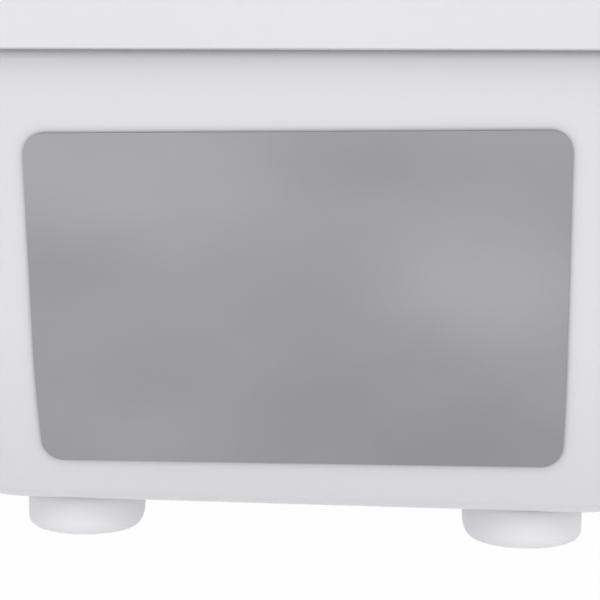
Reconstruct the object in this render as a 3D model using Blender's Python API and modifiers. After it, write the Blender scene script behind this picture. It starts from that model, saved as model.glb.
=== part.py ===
"""A steam ironing press, closed. X runs along the board, -Y is the handle side, +Y the rear wall, Z is up.

The origin is on the floor, under the middle of the press. All sizes are in metres.
"""

from math import atan2, cos, hypot, pi, radians, sin, sqrt, tan

import bmesh
import bpy
from mathutils import Matrix, Vector

# Clearances shared by the pieces
seat_gap = 0.0003
running_gap = 0.0005
cut_overrun = 0.004

# Base tub, measured at the lip of the upper housing
tub_half_width = 0.101
tub_rear = 0.206
tub_front = -0.125
tub_corner = 0.022
tub_wall = 0.0028
tub_floor = 0.012
tub_edge_radius = 0.006
tub_curve_height = 0.060
tub_lean = radians(8.3)
tub_foot_lean = radians(26.0)
tub_side_lean_share = 0.15
lip_rise = 0.046
deck_skirt = 0.013
lip_curve_inset = 0.032
lip_curve_length = 0.039
lip_curve_steps = 6
tub_tongue = 0.0045
flare_share = 0.43

# Upper housing: the deck under the board and the tower round the hinge
housing_wall = 0.0028
housing_gap = 0.0005
deck_height = 0.100
deck_edge_radius = 0.008
tower_depth = 0.086
tower_fillet = 0.010
tower_edge_radius = 0.014
tower_face_radius = 0.020
tower_neck_rise = 0.040
tower_neck_step = 0.003
saddle_drop = 0.016

# Hinge
hinge_inset = 0.038
hinge_rise = 0.072
barrel_radius = 0.038
cheek_radius = 0.040
barrel_half_width = 0.070
cheek_gap = 0.003
shaft_radius = 0.006
shaft_overhang = 0.004
bush_radius = 0.009
bush_width = 0.006
hub_radius = 0.016
bracket_thickness = 0.0025
bracket_side_gap = 0.0012
bracket_head_radius = 0.018
bracket_foot_height = 0.030
bracket_foot_length = 0.085
bracket_heel = 0.005
bracket_foot_lap = 0.010
bracket_waist_behind = 0.008
bracket_waist_ahead = 0.036
bracket_waist_height = 0.100
spring_radius = 0.011
spring_wire_radius = 0.0014
spring_turns = 5
spring_pitch = 0.0040
spring_side_gap = 0.0088
spring_leg_radius = 0.0150
spring_leg_rise = 0.009
opening_angle = radians(55.0)

# Feet and the screws that hold them
foot_radius = 0.017
foot_side_inset = 0.0376
foot_rear_inset = 0.048
foot_front_inset = 0.051
foot_front_side_inset = 0.017
foot_outer_round = 0.010
foot_outer_rise = 0.0045
foot_inner_round = 0.0062
foot_inner_rise = 0.0088
foot_round_power = 3
foot_sides = 16
foot_screw_radius = 0.0018
foot_screw_head_radius = 0.0034
foot_screw_head = 0.0024

# Rating plate on the rear wall
rating_plate_width = 0.140
rating_plate_height = 0.0877
rating_plate_bottom = 0.0252
rating_plate_corner = 0.0055
rating_plate_thickness = 0.0005
rating_plate_shift = -0.0006
rating_plate_turn = radians(-0.73)

# Steel frame and circuit board in the base
frame_half_width = 0.070
frame_front_inset = 0.045
frame_rear_inset = 0.061
frame_thickness = 0.002
board_part_thickness = 0.0016
power_board_length = 0.090
power_board_width = 0.060
power_board_y = 0.010

# Mains inlet on the side wall
inlet_y = 0.070
inlet_drop = 0.025
inlet_flange_width = 0.026
inlet_flange_height = 0.036
inlet_flange_thickness = 0.002
inlet_body_width = 0.020
inlet_body_height = 0.029
inlet_depth = 0.0135
inlet_wall = 0.0016
inlet_pin_thickness = 0.0018
inlet_pin_height = 0.004
inlet_pin_pitch = 0.007
inlet_pin_length = 0.008
inlet_pin_step = 0.002

# Carry lock on the tower
lock_inset = 0.005
lock_drop = 0.020
lock_hub_radius = 0.008
lock_thickness = 0.006
lock_length = 0.026
lock_tip_radius = 0.005
lock_pin_radius = 0.003
lock_cam_radius = 0.007
lock_cam_thickness = 0.003
lock_turn = radians(50.0)

# Pressing board
tower_clearance = 0.012
board_half_length = 0.306
board_half_width = 0.128
board_corner = 0.070
board_rise = 0.012
pan_depth = 0.0135
pan_edge_radius = 0.009
pan_wall = 0.0022
pad_gap = 0.0006
pad_proud = 0.0105
pad_round = 0.010
pad_crown = 0.0012
cloth_thickness = 0.0008
cloth_hem_inset = 0.020
cloth_fold_depth = 0.0014
cloth_folds = 14
cloth_ring_points = 56
bracket_plate_half_length = 0.110
bracket_plate_half_width = 0.060
bracket_plate_thickness = 0.0025
post_radius = 0.008
post_x = 0.080
post_y = 0.045

# Hot plate, its heater and its cover
plate_half_length = 0.300
plate_half_width = 0.122
plate_corner = 0.062
sole_thickness = 0.009
sole_edge = 0.0012
steam_hole_radius = 0.0022
steam_hole_depth = 0.0025
steam_hole_columns = 8
steam_hole_pitch = 0.062
steam_hole_row_pitch = 0.060
heater_radius = 0.0035
heater_end_margin = 0.045
heater_side_margin = 0.034
heater_tail_x = 0.080
lid_end_margin = 0.100
lid_side_margin = 0.062
lid_height = 0.008
lid_wall = 0.0015
shield_end_margin = 0.030
shield_side_margin = 0.022
shield_corner = 0.045
shield_thickness = 0.0008
plate_cover_height = 0.0375
plate_cover_wall = 0.0025
plate_cover_rim_share = 0.36
pivot_rise = 0.0098
pivot_pin_radius = 0.003
pivot_pin_overhang = 0.0015
yoke_half_length = 0.026
yoke_half_width = 0.016
yoke_base = 0.002
yoke_lug_inner = 0.0195
yoke_lug_thickness = 0.0025
yoke_lug_radius = 0.006
pivot_hole_gap = 0.0003
rock_angle = radians(4.0)
thermostat_margin = 0.074
thermostat_radius = 0.009
thermostat_height = 0.0072
fuse_margin = 0.076
fuse_radius = 0.003
fuse_half_length = 0.012
valve_x = 0.075
valve_radius = 0.009
valve_height = 0.014

# Arm over the hot plate
arm_clearance = 0.0038
arm_height = 0.040
arm_wall = 0.0025
arm_edge_radius = 0.008
arm_length = 0.278
arm_nose_radius = 0.010
arm_front_half_width = 0.104
arm_panel_length = 0.080
arm_panel_inset = 0.024
arm_panel_drop = 0.0155
arm_split_rise = 0.010
arm_split_gap = 0.0003
arm_flat_margin = 0.002
arm_throat_inset = 0.008
arm_throat_drop = 0.004
arm_barrel_start = radians(185.0)
arm_barrel_end = radians(440.0)
arm_barrel_steps = 17
rail_thickness = 0.0018
rail_side_gap = 0.0009
rail_height = 0.0138
rail_foot_gap = 0.0007
rail_front_inset = 0.030
rail_rise_inset = 0.026
rail_neck_length = 0.016
rail_neck_rise = 0.003
beam_thickness = 0.002
beam_reach = 0.014
ear_gap = 0.002
beam_height = 0.009

# Water tank in its bay, its cap, valve, socket, pump and hose
bay_length = 0.100
bay_inset = 0.062
bay_corner = 0.010
bay_depth = 0.024
tank_gap = 0.0006
tank_wall = 0.0018
tank_proud = 0.0005
tank_edge = 0.002
tank_lift = 0.060
filler_half_width = 0.012
filler_inset = 0.008
filler_length = 0.022
cap_margin = 0.003
cap_thickness = 0.0022
cap_turn = radians(100.0)
tank_valve_side_inset = 0.018
tank_valve_inset = 0.028
tank_valve_radius = 0.0045
tank_valve_length = 0.007
tank_socket_radius = 0.008
tank_socket_height = 0.0065
pump_inset = 0.034
pump_radius = 0.0105
pump_half_length = 0.024
hose_radius = 0.0025
hose_drop = 0.004

# Handle
handle_reach = 0.0388
handle_rise = 0.010
handle_bar_radius = 0.0065
handle_end_radius = 0.0132
handle_bracket_inner = 0.074
handle_bracket_width = 0.018
handle_tongue_half_height = 0.0058
handle_tongue_rise = 0.0105
handle_boss_reach = 0.018
handle_boss_half_width = 0.0085
handle_boss_rise = 0.0105
grip_radius = 0.0122
grip_swell = 0.0008
steam_button_radius = 0.0055
steam_button_gap = 0.0004
steam_button_height = 0.006
steam_button_proud = 0.0028
steam_button_travel = 0.002
steam_button_pocket = 0.0058

# Control panel on the arm's sloping front
panel_half_width = 0.062
panel_half_length = 0.036
panel_corner = 0.012
panel_thickness = 0.0022
dial_radius = 0.019
dial_height = 0.013
dial_cap_radius = 0.0155
dial_shaft_radius = 0.003
dial_shaft_depth = 0.0078
dial_turn = radians(270.0)
lamp_x = -0.040
lamp_pitch = 0.020
lamp_radius = 0.0028
lamp_proud = 0.0012
rocker_x = 0.040
rocker_half_width = 0.006
rocker_half_length = 0.010
rocker_depth = 0.005
rocker_proud = 0.003
rocker_rise = 0.0015
rocker_rest = radians(-7.0)
rocker_turn = radians(14.0)
control_board_half_length = 0.045
control_board_half_width = 0.024

# Steps of the round shapes
fillet_steps = 4
corner_steps = 5
round_sides = 20
small_sides = 12
hole_sides = 8
spring_points_per_turn = 10
grip_steps = 4

# Sizes that follow from the ones above
lip_front_height = deck_height - deck_skirt
lip_rear_height = lip_front_height + lip_rise
lip_curve_rear = tub_rear - lip_curve_inset
lip_curve_front = lip_curve_rear - lip_curve_length
tower_front = tub_rear - tower_depth
tower_neck_height = deck_height + tower_neck_rise
hinge_y = tub_rear - hinge_inset
hinge_z = deck_height + hinge_rise
saddle_top = hinge_z - saddle_drop
lock_y = hinge_y - lock_inset
lock_z = hinge_z - lock_drop
inlet_z = lip_front_height - inlet_drop
rating_plate_top = rating_plate_bottom + rating_plate_height
foot_spacing = tub_half_width - foot_side_inset
foot_front_spacing = tub_half_width - foot_front_side_inset
foot_rear_y = tub_rear - foot_rear_inset
foot_front_y = tub_front + foot_front_inset
foot_screw_shift = (foot_inner_round - foot_outer_round) / 2
frame_front = tub_front + frame_front_inset
frame_rear = tub_rear - frame_rear_inset
bracket_face = barrel_half_width + cheek_gap + housing_wall + bracket_side_gap
bracket_foot_front = frame_rear - bracket_foot_length
bracket_foot_rear = frame_rear + bracket_heel
bracket_foot_inner = frame_half_width - bracket_foot_lap
bracket_waist_rear = hinge_y + bracket_waist_behind
bracket_waist_front = hinge_y - bracket_waist_ahead
shaft_half_length = bracket_face + bracket_thickness + shaft_overhang
board_y = tower_front - tower_clearance - board_half_width
pan_bottom = deck_height + board_rise
pan_top = pan_bottom + pan_depth
pad_top = pan_top + pad_proud
board_surface = pad_top + seat_gap + cloth_thickness
sole_bottom = board_surface + seat_gap
sole_top = sole_bottom + sole_thickness
plate_cover_bottom = sole_top + seat_gap
plate_cover_top = plate_cover_bottom + plate_cover_height
heater_half_length = plate_half_length - heater_end_margin
heater_half_width = plate_half_width - heater_side_margin
lid_half_length = plate_half_length - lid_end_margin
lid_half_width = plate_half_width - lid_side_margin
shield_half_length = plate_half_length - shield_end_margin
shield_half_width = plate_half_width - shield_side_margin
thermostat_x = plate_half_length - thermostat_margin
fuse_x = fuse_margin - plate_half_length
pivot_z = plate_cover_top + pivot_rise
arm_bottom = plate_cover_top + arm_clearance
arm_top = arm_bottom + arm_height
arm_nose = tower_front - arm_length
arm_panel_front = arm_nose + arm_panel_inset
arm_panel_rear = arm_panel_front + arm_panel_length
arm_split_height = arm_bottom + arm_split_rise
arm_throat_y = tower_front - arm_throat_inset
rail_inner = barrel_half_width - arm_wall - rail_thickness - rail_side_gap
rail_bottom = arm_bottom + arm_wall + rail_foot_gap
rail_top = rail_bottom + rail_height
rail_front = arm_nose + rail_front_inset
rail_rise_y = tower_front - rail_rise_inset
rail_neck_front = tower_front - rail_neck_length
rail_neck_rear = tower_front
rail_neck_bottom = rail_bottom + rail_neck_rise
front_cross_half_length = handle_bracket_inner + handle_bracket_width + running_gap
ear_inner = yoke_lug_inner + yoke_lug_thickness + ear_gap
beam_top = rail_bottom + beam_height
pivot_pin_half_length = ear_inner + beam_thickness + pivot_pin_overhang
spring_inner_end = rail_inner - spring_turns * spring_pitch - spring_side_gap
bay_rear = tower_front - bay_inset
bay_front = bay_rear - bay_length
bay_half_width = rail_inner - seat_gap - arm_wall
bay_floor = arm_top - bay_depth
arm_flat_rear = bay_rear + arm_flat_margin
filler_front = bay_front + filler_inset
filler_rear = filler_front + filler_length
tank_valve_x = bay_half_width - tank_valve_side_inset
tank_valve_y = bay_rear - tank_valve_inset
pump_y = bay_rear + pump_inset
handle_y = arm_nose - handle_reach
handle_z = arm_bottom + handle_rise
handle_tongue_z = arm_bottom + handle_tongue_rise
handle_boss_y = arm_nose - handle_boss_reach
handle_boss_top = handle_z + handle_boss_rise
tank_top = arm_top + tank_proud
housing_half_width = tub_half_width + tub_tongue * tan(tub_lean) * tub_side_lean_share + housing_gap + housing_wall
housing_rear = tub_rear + tub_tongue * tan(tub_lean) + housing_gap + housing_wall
housing_front = tub_front - tub_tongue * tan(tub_lean) - housing_gap - housing_wall
housing_corner = tub_corner + housing_gap + housing_wall


def new_collection(name):
    collection = bpy.data.collections.new(name)
    bpy.context.scene.collection.children.link(collection)
    return collection


for old in list(bpy.data.objects):
    bpy.data.objects.remove(old, do_unlink=True)
press = new_collection("steam_ironing_press")
cutters = new_collection("cutters")


def finish(name, colour, roughness, metallic=0.0):
    made = bpy.data.materials.new(name)
    made.use_nodes = True
    shader = made.node_tree.nodes["Principled BSDF"]
    shader.inputs["Base Color"].default_value = (*colour, 1.0)
    shader.inputs["Roughness"].default_value = roughness
    shader.inputs["Metallic"].default_value = metallic
    return made


white_shell = finish("white_shell", (0.76, 0.76, 0.77), 0.35)
grey_shell = finish("grey_shell", (0.30, 0.31, 0.33), 0.45)
silver_film = finish("silver_film", (0.45, 0.46, 0.47), 0.35, 1.0)
steel = finish("steel", (0.52, 0.53, 0.54), 0.35, 1.0)
aluminium = finish("aluminium", (0.72, 0.73, 0.74), 0.30, 1.0)
brass = finish("brass", (0.72, 0.55, 0.28), 0.30, 1.0)
black_plastic = finish("black_plastic", (0.03, 0.03, 0.03), 0.50)
soft_grip = finish("soft_grip", (0.06, 0.06, 0.07), 0.70)
foam = finish("foam", (0.80, 0.76, 0.62), 0.95)
cloth = finish("cloth", (0.55, 0.58, 0.62), 0.90)
clear_blue = finish("clear_blue", (0.25, 0.42, 0.60), 0.15)
green_board = finish("green_board", (0.05, 0.22, 0.10), 0.50)
lamp_red = finish("lamp_red", (0.65, 0.05, 0.03), 0.20)
lamp_green = finish("lamp_green", (0.05, 0.50, 0.12), 0.20)
hose_clear = finish("hose_clear", (0.70, 0.70, 0.68), 0.40)


# Tools for making solids


def mesh_of(shape, name):
    bmesh.ops.recalc_face_normals(shape, faces=shape.faces)
    mesh = bpy.data.meshes.new(name)
    shape.to_mesh(mesh)
    shape.free()
    return mesh


def place(name, mesh, material=None):
    """A piece of the press, or a cutter where no material is given."""
    made = bpy.data.objects.new(name, mesh)
    if material:
        mesh.materials.clear()
        mesh.materials.append(material)
        mesh.shade_smooth()
        mesh.set_sharp_from_angle(angle=radians(35.0))
        press.objects.link(made)
        return made
    made.hide_render = True
    made.display_type = "WIRE"
    cutters.objects.link(made)
    return made


def box(name, low, high, material=None):
    """A box between two corners."""
    low, high = Vector(low), Vector(high)
    shape = bmesh.new()
    bmesh.ops.create_cube(shape, size=1.0)
    bmesh.ops.scale(shape, vec=high - low, verts=shape.verts)
    bmesh.ops.translate(shape, vec=(low + high) / 2, verts=shape.verts)
    return place(name, mesh_of(shape, name), material)


def rod(name, start, end, radius, sides=round_sides, material=None, end_radius=None):
    """A cylinder or cone from one point to another."""
    start, end = Vector(start), Vector(end)
    along = end - start
    shape = bmesh.new()
    bmesh.ops.create_cone(
        shape,
        cap_ends=True,
        segments=sides,
        radius1=radius,
        radius2=radius if end_radius is None else end_radius,
        depth=along.length,
        matrix=Matrix.Translation((start + end) / 2) @ along.to_track_quat("Z", "Y").to_matrix().to_4x4(),
    )
    return place(name, mesh_of(shape, name), material)


def mesh_from_curve(curve, name, matrix):
    """The curve's solid as a mesh, its caps welded to its sides."""
    holder = bpy.data.objects.new(name, curve)
    bpy.context.scene.collection.objects.link(holder)
    holder.matrix_world = matrix
    bpy.context.view_layer.update()
    mesh = bpy.data.meshes.new_from_object(holder.evaluated_get(bpy.context.evaluated_depsgraph_get()))
    shape = bmesh.new()
    shape.from_mesh(mesh)
    bmesh.ops.transform(shape, matrix=holder.matrix_world, verts=shape.verts)
    bmesh.ops.remove_doubles(shape, verts=shape.verts, dist=seat_gap / 10)
    bpy.data.objects.remove(holder, do_unlink=True)
    bpy.data.meshes.remove(mesh)
    return mesh_of(shape, name)


# Local axes of a flat outline: its first and second coordinate, and its thickness
LYING = Matrix(((1, 0, 0), (0, 1, 0), (0, 0, 1))).transposed().to_4x4()
SIDEWAYS = Matrix(((0, 1, 0), (0, 0, 1), (1, 0, 0))).transposed().to_4x4()


def flat(name, points, low, high, axes=LYING, material=None):
    """A flat outline with straight walls, from low to high along its third axis."""
    curve = bpy.data.curves.new(name, "CURVE")
    curve.dimensions = "2D"
    curve.fill_mode = "BOTH"
    curve.extrude = (high - low) / 2
    spline = curve.splines.new("POLY")
    spline.points.add(len(points) - 1)
    for spot, (u, v) in zip(spline.points, points):
        spot.co = (u, v, 0.0, 1.0)
    spline.use_cyclic_u = True
    middle = Matrix.Translation((0.0, 0.0, (low + high) / 2))
    return place(name, mesh_from_curve(curve, name, axes @ middle), material)


def tube(name, points, radius, material=None, resolution=2):
    """A round wire or hose along the points."""
    curve = bpy.data.curves.new(name, "CURVE")
    curve.dimensions = "3D"
    curve.bevel_depth = radius
    curve.bevel_resolution = resolution
    curve.use_fill_caps = True
    spline = curve.splines.new("POLY")
    spline.points.add(len(points) - 1)
    for spot, point in zip(spline.points, points):
        spot.co = (*point, 1.0)
    return place(name, mesh_from_curve(curve, name, Matrix.Identity(4)), material)


def turned(name, profile, at, direction, sides=round_sides, material=None):
    """A profile of (radius, height) turned about its axis, top to bottom along its outer side."""
    shape = bmesh.new()
    spots = [shape.verts.new((r, 0.0, h)) for r, h in profile]
    for first, second in zip(spots, spots[1:]):
        shape.edges.new((first, second))
    if profile[0][0] > 0:
        shape.edges.new((spots[-1], spots[0]))
    mesh = bpy.data.meshes.new(name)
    shape.to_mesh(mesh)
    shape.free()
    made = place(name, mesh, material)
    made.matrix_world = Matrix.Translation(at) @ Vector(direction).to_track_quat("Z", "Y").to_matrix().to_4x4()
    screw = made.modifiers.new("turn", "SCREW")
    screw.steps = sides
    screw.render_steps = sides
    screw.merge_threshold = seat_gap / 10
    screw.use_merge_vertices = True
    return made


def loft(name, rings, material=None, close_first=True, close_last=True, cap=None):
    """Faces between rings of equally many points, with flat ends, or ends made by a cap function."""
    shape = bmesh.new()
    rows = [[shape.verts.new(point) for point in ring] for ring in rings]
    for one, two in zip(rows, rows[1:]):
        for i, spot in enumerate(one):
            shape.faces.new((one[i - 1], spot, two[i], two[i - 1]))
    for wanted, row in ((close_first, rows[0]), (close_last, rows[-1])):
        if wanted and cap:
            cap(shape, row)
        elif wanted:
            shape.faces.new(row)
    return place(name, mesh_of(shape, name), material)


def slice_cap(shape, ring):
    """Closes a side with slices between its upper and lower outline, so that a curved side stays even."""
    count = len(ring)
    rear = max(range(count), key=lambda i: ring[i].co.y)
    front = min(range(count), key=lambda i: ring[i].co.y)
    one = [ring[(rear + i) % count] for i in range((front - rear) % count + 1)]
    two = [ring[(rear - i) % count] for i in range((rear - front) % count + 1)]
    i = j = 0
    while i + 1 < len(one) or j + 1 < len(two):
        second = i + 1 == len(one) or (j + 1 < len(two) and two[j + 1].co.y > one[i + 1].co.y)
        corners = {one[i], two[j], two[j + 1] if second else one[i + 1]}
        i, j = (i, j + 1) if second else (i + 1, j)
        if len(corners) == 3:
            shape.faces.new(corners)


def combine(made, other, operation="DIFFERENCE"):
    """Cuts the other from the piece, joins it or keeps what they share."""
    change = made.modifiers.new(other.name, "BOOLEAN")
    change.solver = "EXACT"
    change.operation = operation
    change.object = other
    return made


def join(made, *others):
    for other in others:
        combine(made, other, "UNION")
    return made


def cut(made, *others):
    for other in others:
        combine(made, other)
    return made


def thicken(made, wall):
    """Gives an open surface its wall, on the inner side."""
    skin = made.modifiers.new("wall", "SOLIDIFY")
    skin.thickness = wall
    skin.offset = -1.0
    skin.use_even_offset = True
    return made


def carrier(name, at, parent=None):
    """An empty on a joint's axis that carries the pieces of a body."""
    made = bpy.data.objects.new(name, None)
    press.objects.link(made)
    made.parent = parent
    made.location = Vector(at) - (parent.matrix_world.translation if parent else Vector())
    bpy.context.view_layer.update()
    return made


def carry(holder, *pieces):
    """Parents pieces to a carrier and leaves them where they are."""
    for piece in pieces:
        piece.parent = holder
        piece.matrix_parent_inverse = holder.matrix_world.inverted()


# Outlines


def arc(centre, radius, start, end, steps):
    """Points on an arc, both ends included; the angles may fall or rise."""
    turns = [start + (end - start) * i / steps for i in range(steps + 1)]
    return [(centre[0] + radius * cos(a), centre[1] + radius * sin(a)) for a in turns]


def rounded(half_length, half_width, corner, middle=(0.0, 0.0), steps=corner_steps):
    """A rectangle with round corners, counterclockwise from its right side."""
    points = []
    for i, (sx, sy) in enumerate(((1, 1), (-1, 1), (-1, -1), (1, -1))):
        centre = (middle[0] + sx * (half_length - corner), middle[1] + sy * (half_width - corner))
        points += arc(centre, corner, i * pi / 2, (i + 1) * pi / 2, steps)
    return points


def at_height(points, z):
    return [(x, y, z) for x, y in points]


def swell(x, radius):
    """How far a round edge of this radius has fallen back at a distance x from its side."""
    return radius - sqrt(max(0.0, radius**2 - (radius - min(x, radius)) ** 2))


# Base


def lip_line(y):
    """The height of the joint between tub and housing: high at the rear, low under the board."""
    share = min(1.0, max(0.0, (y - lip_curve_front) / (lip_curve_rear - lip_curve_front)))
    return lip_front_height + (lip_rear_height - lip_front_height) * share**2 * (3 - 2 * share)


def flare(x, y):
    """Widens the base towards the handle side, smoothly from the curve of the lip on."""
    reach = lip_curve_rear - lip_curve_front
    ahead = max(0.0, lip_curve_rear - y)
    grown = ahead**2 / (2 * reach) if ahead < reach else ahead - reach / 2
    return x * (1 + flare_share * grown / (tub_rear - tub_front))


fillet_top = tub_floor + tub_edge_radius * (1 - sin(tub_foot_lean))
curve_rate = (tan(tub_foot_lean) - tan(tub_lean)) / (tub_curve_height - fillet_top)


def wall_inset(z, top):
    """How far the wall stands in from its place at the lip, straight above and curved below."""
    return tan(tub_lean) * (top - z) + curve_rate * max(0.0, tub_curve_height - z) ** 2 / 2


def lip_curve_places():
    step = (lip_curve_rear - lip_curve_front) / lip_curve_steps
    return [lip_curve_front + step * i for i in range(lip_curve_steps + 1)]


def tub_ring(height_share=None, fillet_angle=None):
    """One ring of the tub's outer face, at a share of the wall's height or an angle of the edge."""

    def spot(side, y, towards_rear=0, turn=None):
        top = lip_line(y)
        if fillet_angle is None:
            z = fillet_top + (top + tub_tongue - fillet_top) * height_share
            edge = 0.0
        else:
            z = tub_floor + tub_edge_radius * (1 - sin(fillet_angle))
            edge = tub_edge_radius * (cos(tub_foot_lean) - cos(fillet_angle))
        lean = wall_inset(max(z, fillet_top), top)
        corner = tub_corner - edge
        x = tub_half_width - lean * tub_side_lean_share - edge
        if turn is None:
            y -= lean
        else:
            x += corner * (cos(turn) - 1)
            end = tub_rear - lean - edge if towards_rear > 0 else -tub_front - lean - edge
            y = towards_rear * (end + corner * (sin(turn) - 1))
        return (flare(side * x, y), y, z)

    turns = [pi / 2 * i / corner_steps for i in range(corner_steps + 1)]
    sides = lip_curve_places()
    ring = [spot(1, y) for y in sides]
    ring += [spot(1, tub_rear, 1, turn) for turn in turns]
    ring += [spot(-1, tub_rear, 1, turn) for turn in reversed(turns)]
    ring += [spot(-1, y) for y in reversed(sides)]
    ring += [spot(-1, tub_front, -1, turn) for turn in turns]
    ring += [spot(1, tub_front, -1, turn) for turn in reversed(turns)]
    return ring


tub_wall_shares = (0.0, 0.10, 0.20, 0.31, 0.44, 0.70, 1.0)


def make_base_tub():
    angles = [pi / 2 + (tub_foot_lean - pi / 2) * i / fillet_steps for i in range(fillet_steps)]
    rings = [tub_ring(fillet_angle=angle) for angle in angles]
    rings += [tub_ring(height_share=share) for share in tub_wall_shares]
    tub = loft("base_tub", rings, white_shell, close_last=False)
    thicken(tub, tub_wall)
    return tub


def housing_profile(inset):
    """The housing's side outline from the rear lip over the tower and the deck to the front lip.

    Each point is (y, z, direction in y, edge radius in y, direction in z, edge radius in z), where
    the directions and radii say how it falls back near the sides.
    """
    plan = housing_corner - inset
    face = tower_face_radius - inset
    top = tower_edge_radius - inset
    low = deck_edge_radius - inset
    points = [(housing_rear - inset, lip_rear_height, -1, plan, 0, top)]
    points.append((housing_rear - inset, lip_rear_height + tub_tongue + seat_gap, -1, plan, 0, top))
    for y, z in arc((hinge_y, hinge_z), cheek_radius - inset, 0.0, pi / 2, corner_steps):
        turn = atan2(z - hinge_z, y - hinge_y)
        points.append((y, z, -cos(turn), plan, -sin(turn), top))
    for y, z in arc((hinge_y, hinge_z), cheek_radius - inset, pi / 2, pi, corner_steps)[1:]:
        turn = atan2(z - hinge_z, y - hinge_y)
        points.append((y, z, -cos(turn), face, -sin(turn), top))
    points.append((tower_front + tower_neck_step + inset, tower_neck_height, 1, face, 0, top))
    foot = (tower_front - tower_fillet, deck_height + tower_fillet)
    for y, z in arc(foot, tower_fillet + inset, 0.0, -pi / 2, fillet_steps):
        turn = atan2(z - foot[1], y - foot[0])
        points.append((y, z, cos(turn), face, sin(turn), low))
    edge = (housing_front + deck_edge_radius, deck_height - deck_edge_radius)
    for y, z in arc(edge, low, pi / 2, pi, fillet_steps):
        turn = atan2(z - edge[1], y - edge[0])
        points.append((y, z, 1, plan, -sin(turn), low))
    points.append((housing_front + inset, lip_front_height, 1, plan, 0, low))
    return points


def housing_block(name, inset, drop, material=None):
    """The housing as a solid, drawn in all round by the inset and lowered at its foot by the drop."""
    half = housing_half_width - inset
    plan = housing_corner - inset
    depths = [plan * (1 - cos(pi / 2 * i / corner_steps)) for i in range(corner_steps + 1)]
    places = [(-half + d, d) for d in depths] + [(half - d, d) for d in reversed(depths)]
    profile = housing_profile(inset)
    rings = []
    for x, depth in places:
        ring = []
        for y, z, dy, ry, dz, rz in profile:
            ring.append((y + dy * swell(depth, ry), z + dz * swell(depth, rz)))
        ring[0] = (ring[0][0], lip_rear_height - drop)
        ring[-1] = (ring[-1][0], lip_front_height - drop)
        ring += [(y, lip_line(y) - drop) for y in lip_curve_places()]
        rings.append([(flare(x, y), y, z) for y, z in ring])
    return loft(name, rings, material, cap=slice_cap)


def make_upper_housing():
    housing = housing_block("base_upper_housing", 0.0, 0.0, white_shell)
    hollow = housing_block("housing_hollow", housing_wall, tub_tongue + cut_overrun)
    gap_side = barrel_half_width + cheek_gap
    saddle_radius = barrel_radius + seat_gap + running_gap
    kept = saddle_radius + housing_wall
    wall_end = gap_side + housing_wall
    axis = ((-wall_end, hinge_y, hinge_z), (wall_end, hinge_y, hinge_z))
    cut(hollow, rod("saddle_wall", axis[0], axis[1], kept, round_sides))
    over = cheek_radius + cut_overrun
    low = (-wall_end, tower_front - cut_overrun, saddle_top - housing_wall)
    cut(hollow, box("saddle_wall_top", low, (wall_end, housing_rear + cut_overrun, hinge_z + over)))
    cut(housing, hollow)
    axis = ((-gap_side, hinge_y, hinge_z), (gap_side, hinge_y, hinge_z))
    cut(housing, rod("saddle", axis[0], axis[1], saddle_radius, round_sides))
    low = (-gap_side, tower_front - tower_fillet - cut_overrun, saddle_top)
    cut(housing, box("saddle_mouth", low, (gap_side, housing_rear + cut_overrun, hinge_z + over)))
    reach = wall_end + cut_overrun
    hole = shaft_radius + running_gap
    cut(housing, rod("shaft_bore", (-reach, hinge_y, hinge_z), (reach, hinge_y, hinge_z), hole, hole_sides))
    start = (housing_half_width - housing_wall - cut_overrun, lock_y, lock_z)
    end = (housing_half_width + cut_overrun, lock_y, lock_z)
    cut(housing, rod("lock_bore", start, end, lock_pin_radius + running_gap, hole_sides))
    return housing


def foot_ring(z, side):
    """One ring of a foot, whose inner lower edge is rounder than its outer one."""

    def drawn_in(round_, rise):
        share = max(0.0, 1 - z / rise)
        return round_ * (1 - (1 - share**foot_round_power) ** (1 / foot_round_power))

    outer = drawn_in(foot_outer_round, foot_outer_rise)
    inner = drawn_in(foot_inner_round, foot_inner_rise)
    radius = foot_radius - (outer + inner) / 2
    shift = side * (inner - outer) / 2
    turns = [2 * pi * i / foot_sides for i in range(foot_sides)]
    return [(shift + radius * cos(a), radius * sin(a), z) for a in turns]


foot_level_shares = (0.0, 0.02, 0.08, 0.20, 0.40, 0.72, 1.0)


def make_foot(name, x, y):
    """A foot with a recess for its screw in the sole."""
    side = 1 if x > 0 else -1
    height = tub_floor - seat_gap
    rings = [foot_ring(height * share, side) for share in foot_level_shares]
    rings = [[(x + dx, y + dy, z) for dx, dy, z in ring] for ring in rings]
    foot = loft(name, rings, white_shell)
    bore = foot_screw_head_radius + running_gap
    floor = foot_screw_head + running_gap * 2
    shift = side * foot_screw_shift
    cut(foot, rod(name + "_bore", (x + shift, y, -cut_overrun), (x + shift, y, floor), bore, hole_sides))
    thread = foot_screw_radius + seat_gap
    cut(foot, rod(name + "_thread", (x + shift, y, 0.0), (x + shift, y, tub_floor), thread, hole_sides))
    return foot, (x + shift, y)


def make_feet(tub):
    """Four feet, their screws and the holes that the screws take in the tub's floor."""
    made = []
    for end, spacing, y in (("rear", foot_spacing, foot_rear_y), ("front", foot_front_spacing, foot_front_y)):
        for side, x in (("left", -spacing), ("right", spacing)):
            foot, (sx, sy) = make_foot(f"foot_{end}_{side}", x, y)
            top = tub_floor + tub_wall - seat_gap
            low = running_gap + foot_screw_head
            screw = rod(f"foot_screw_{end}_{side}", (sx, sy, running_gap), (sx, sy, low), foot_screw_head_radius,
                        small_sides, steel)
            shank = rod(f"shank_{end}_{side}", (sx, sy, low - seat_gap), (sx, sy, top), foot_screw_radius, hole_sides)
            join(screw, shank)
            hole = foot_screw_radius + seat_gap
            over = tub_floor + tub_wall + cut_overrun
            cut(tub, rod(f"foot_hole_{end}_{side}", (sx, sy, tub_floor - cut_overrun), (sx, sy, over), hole, hole_sides))
            made += [foot, screw]
    return made


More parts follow.
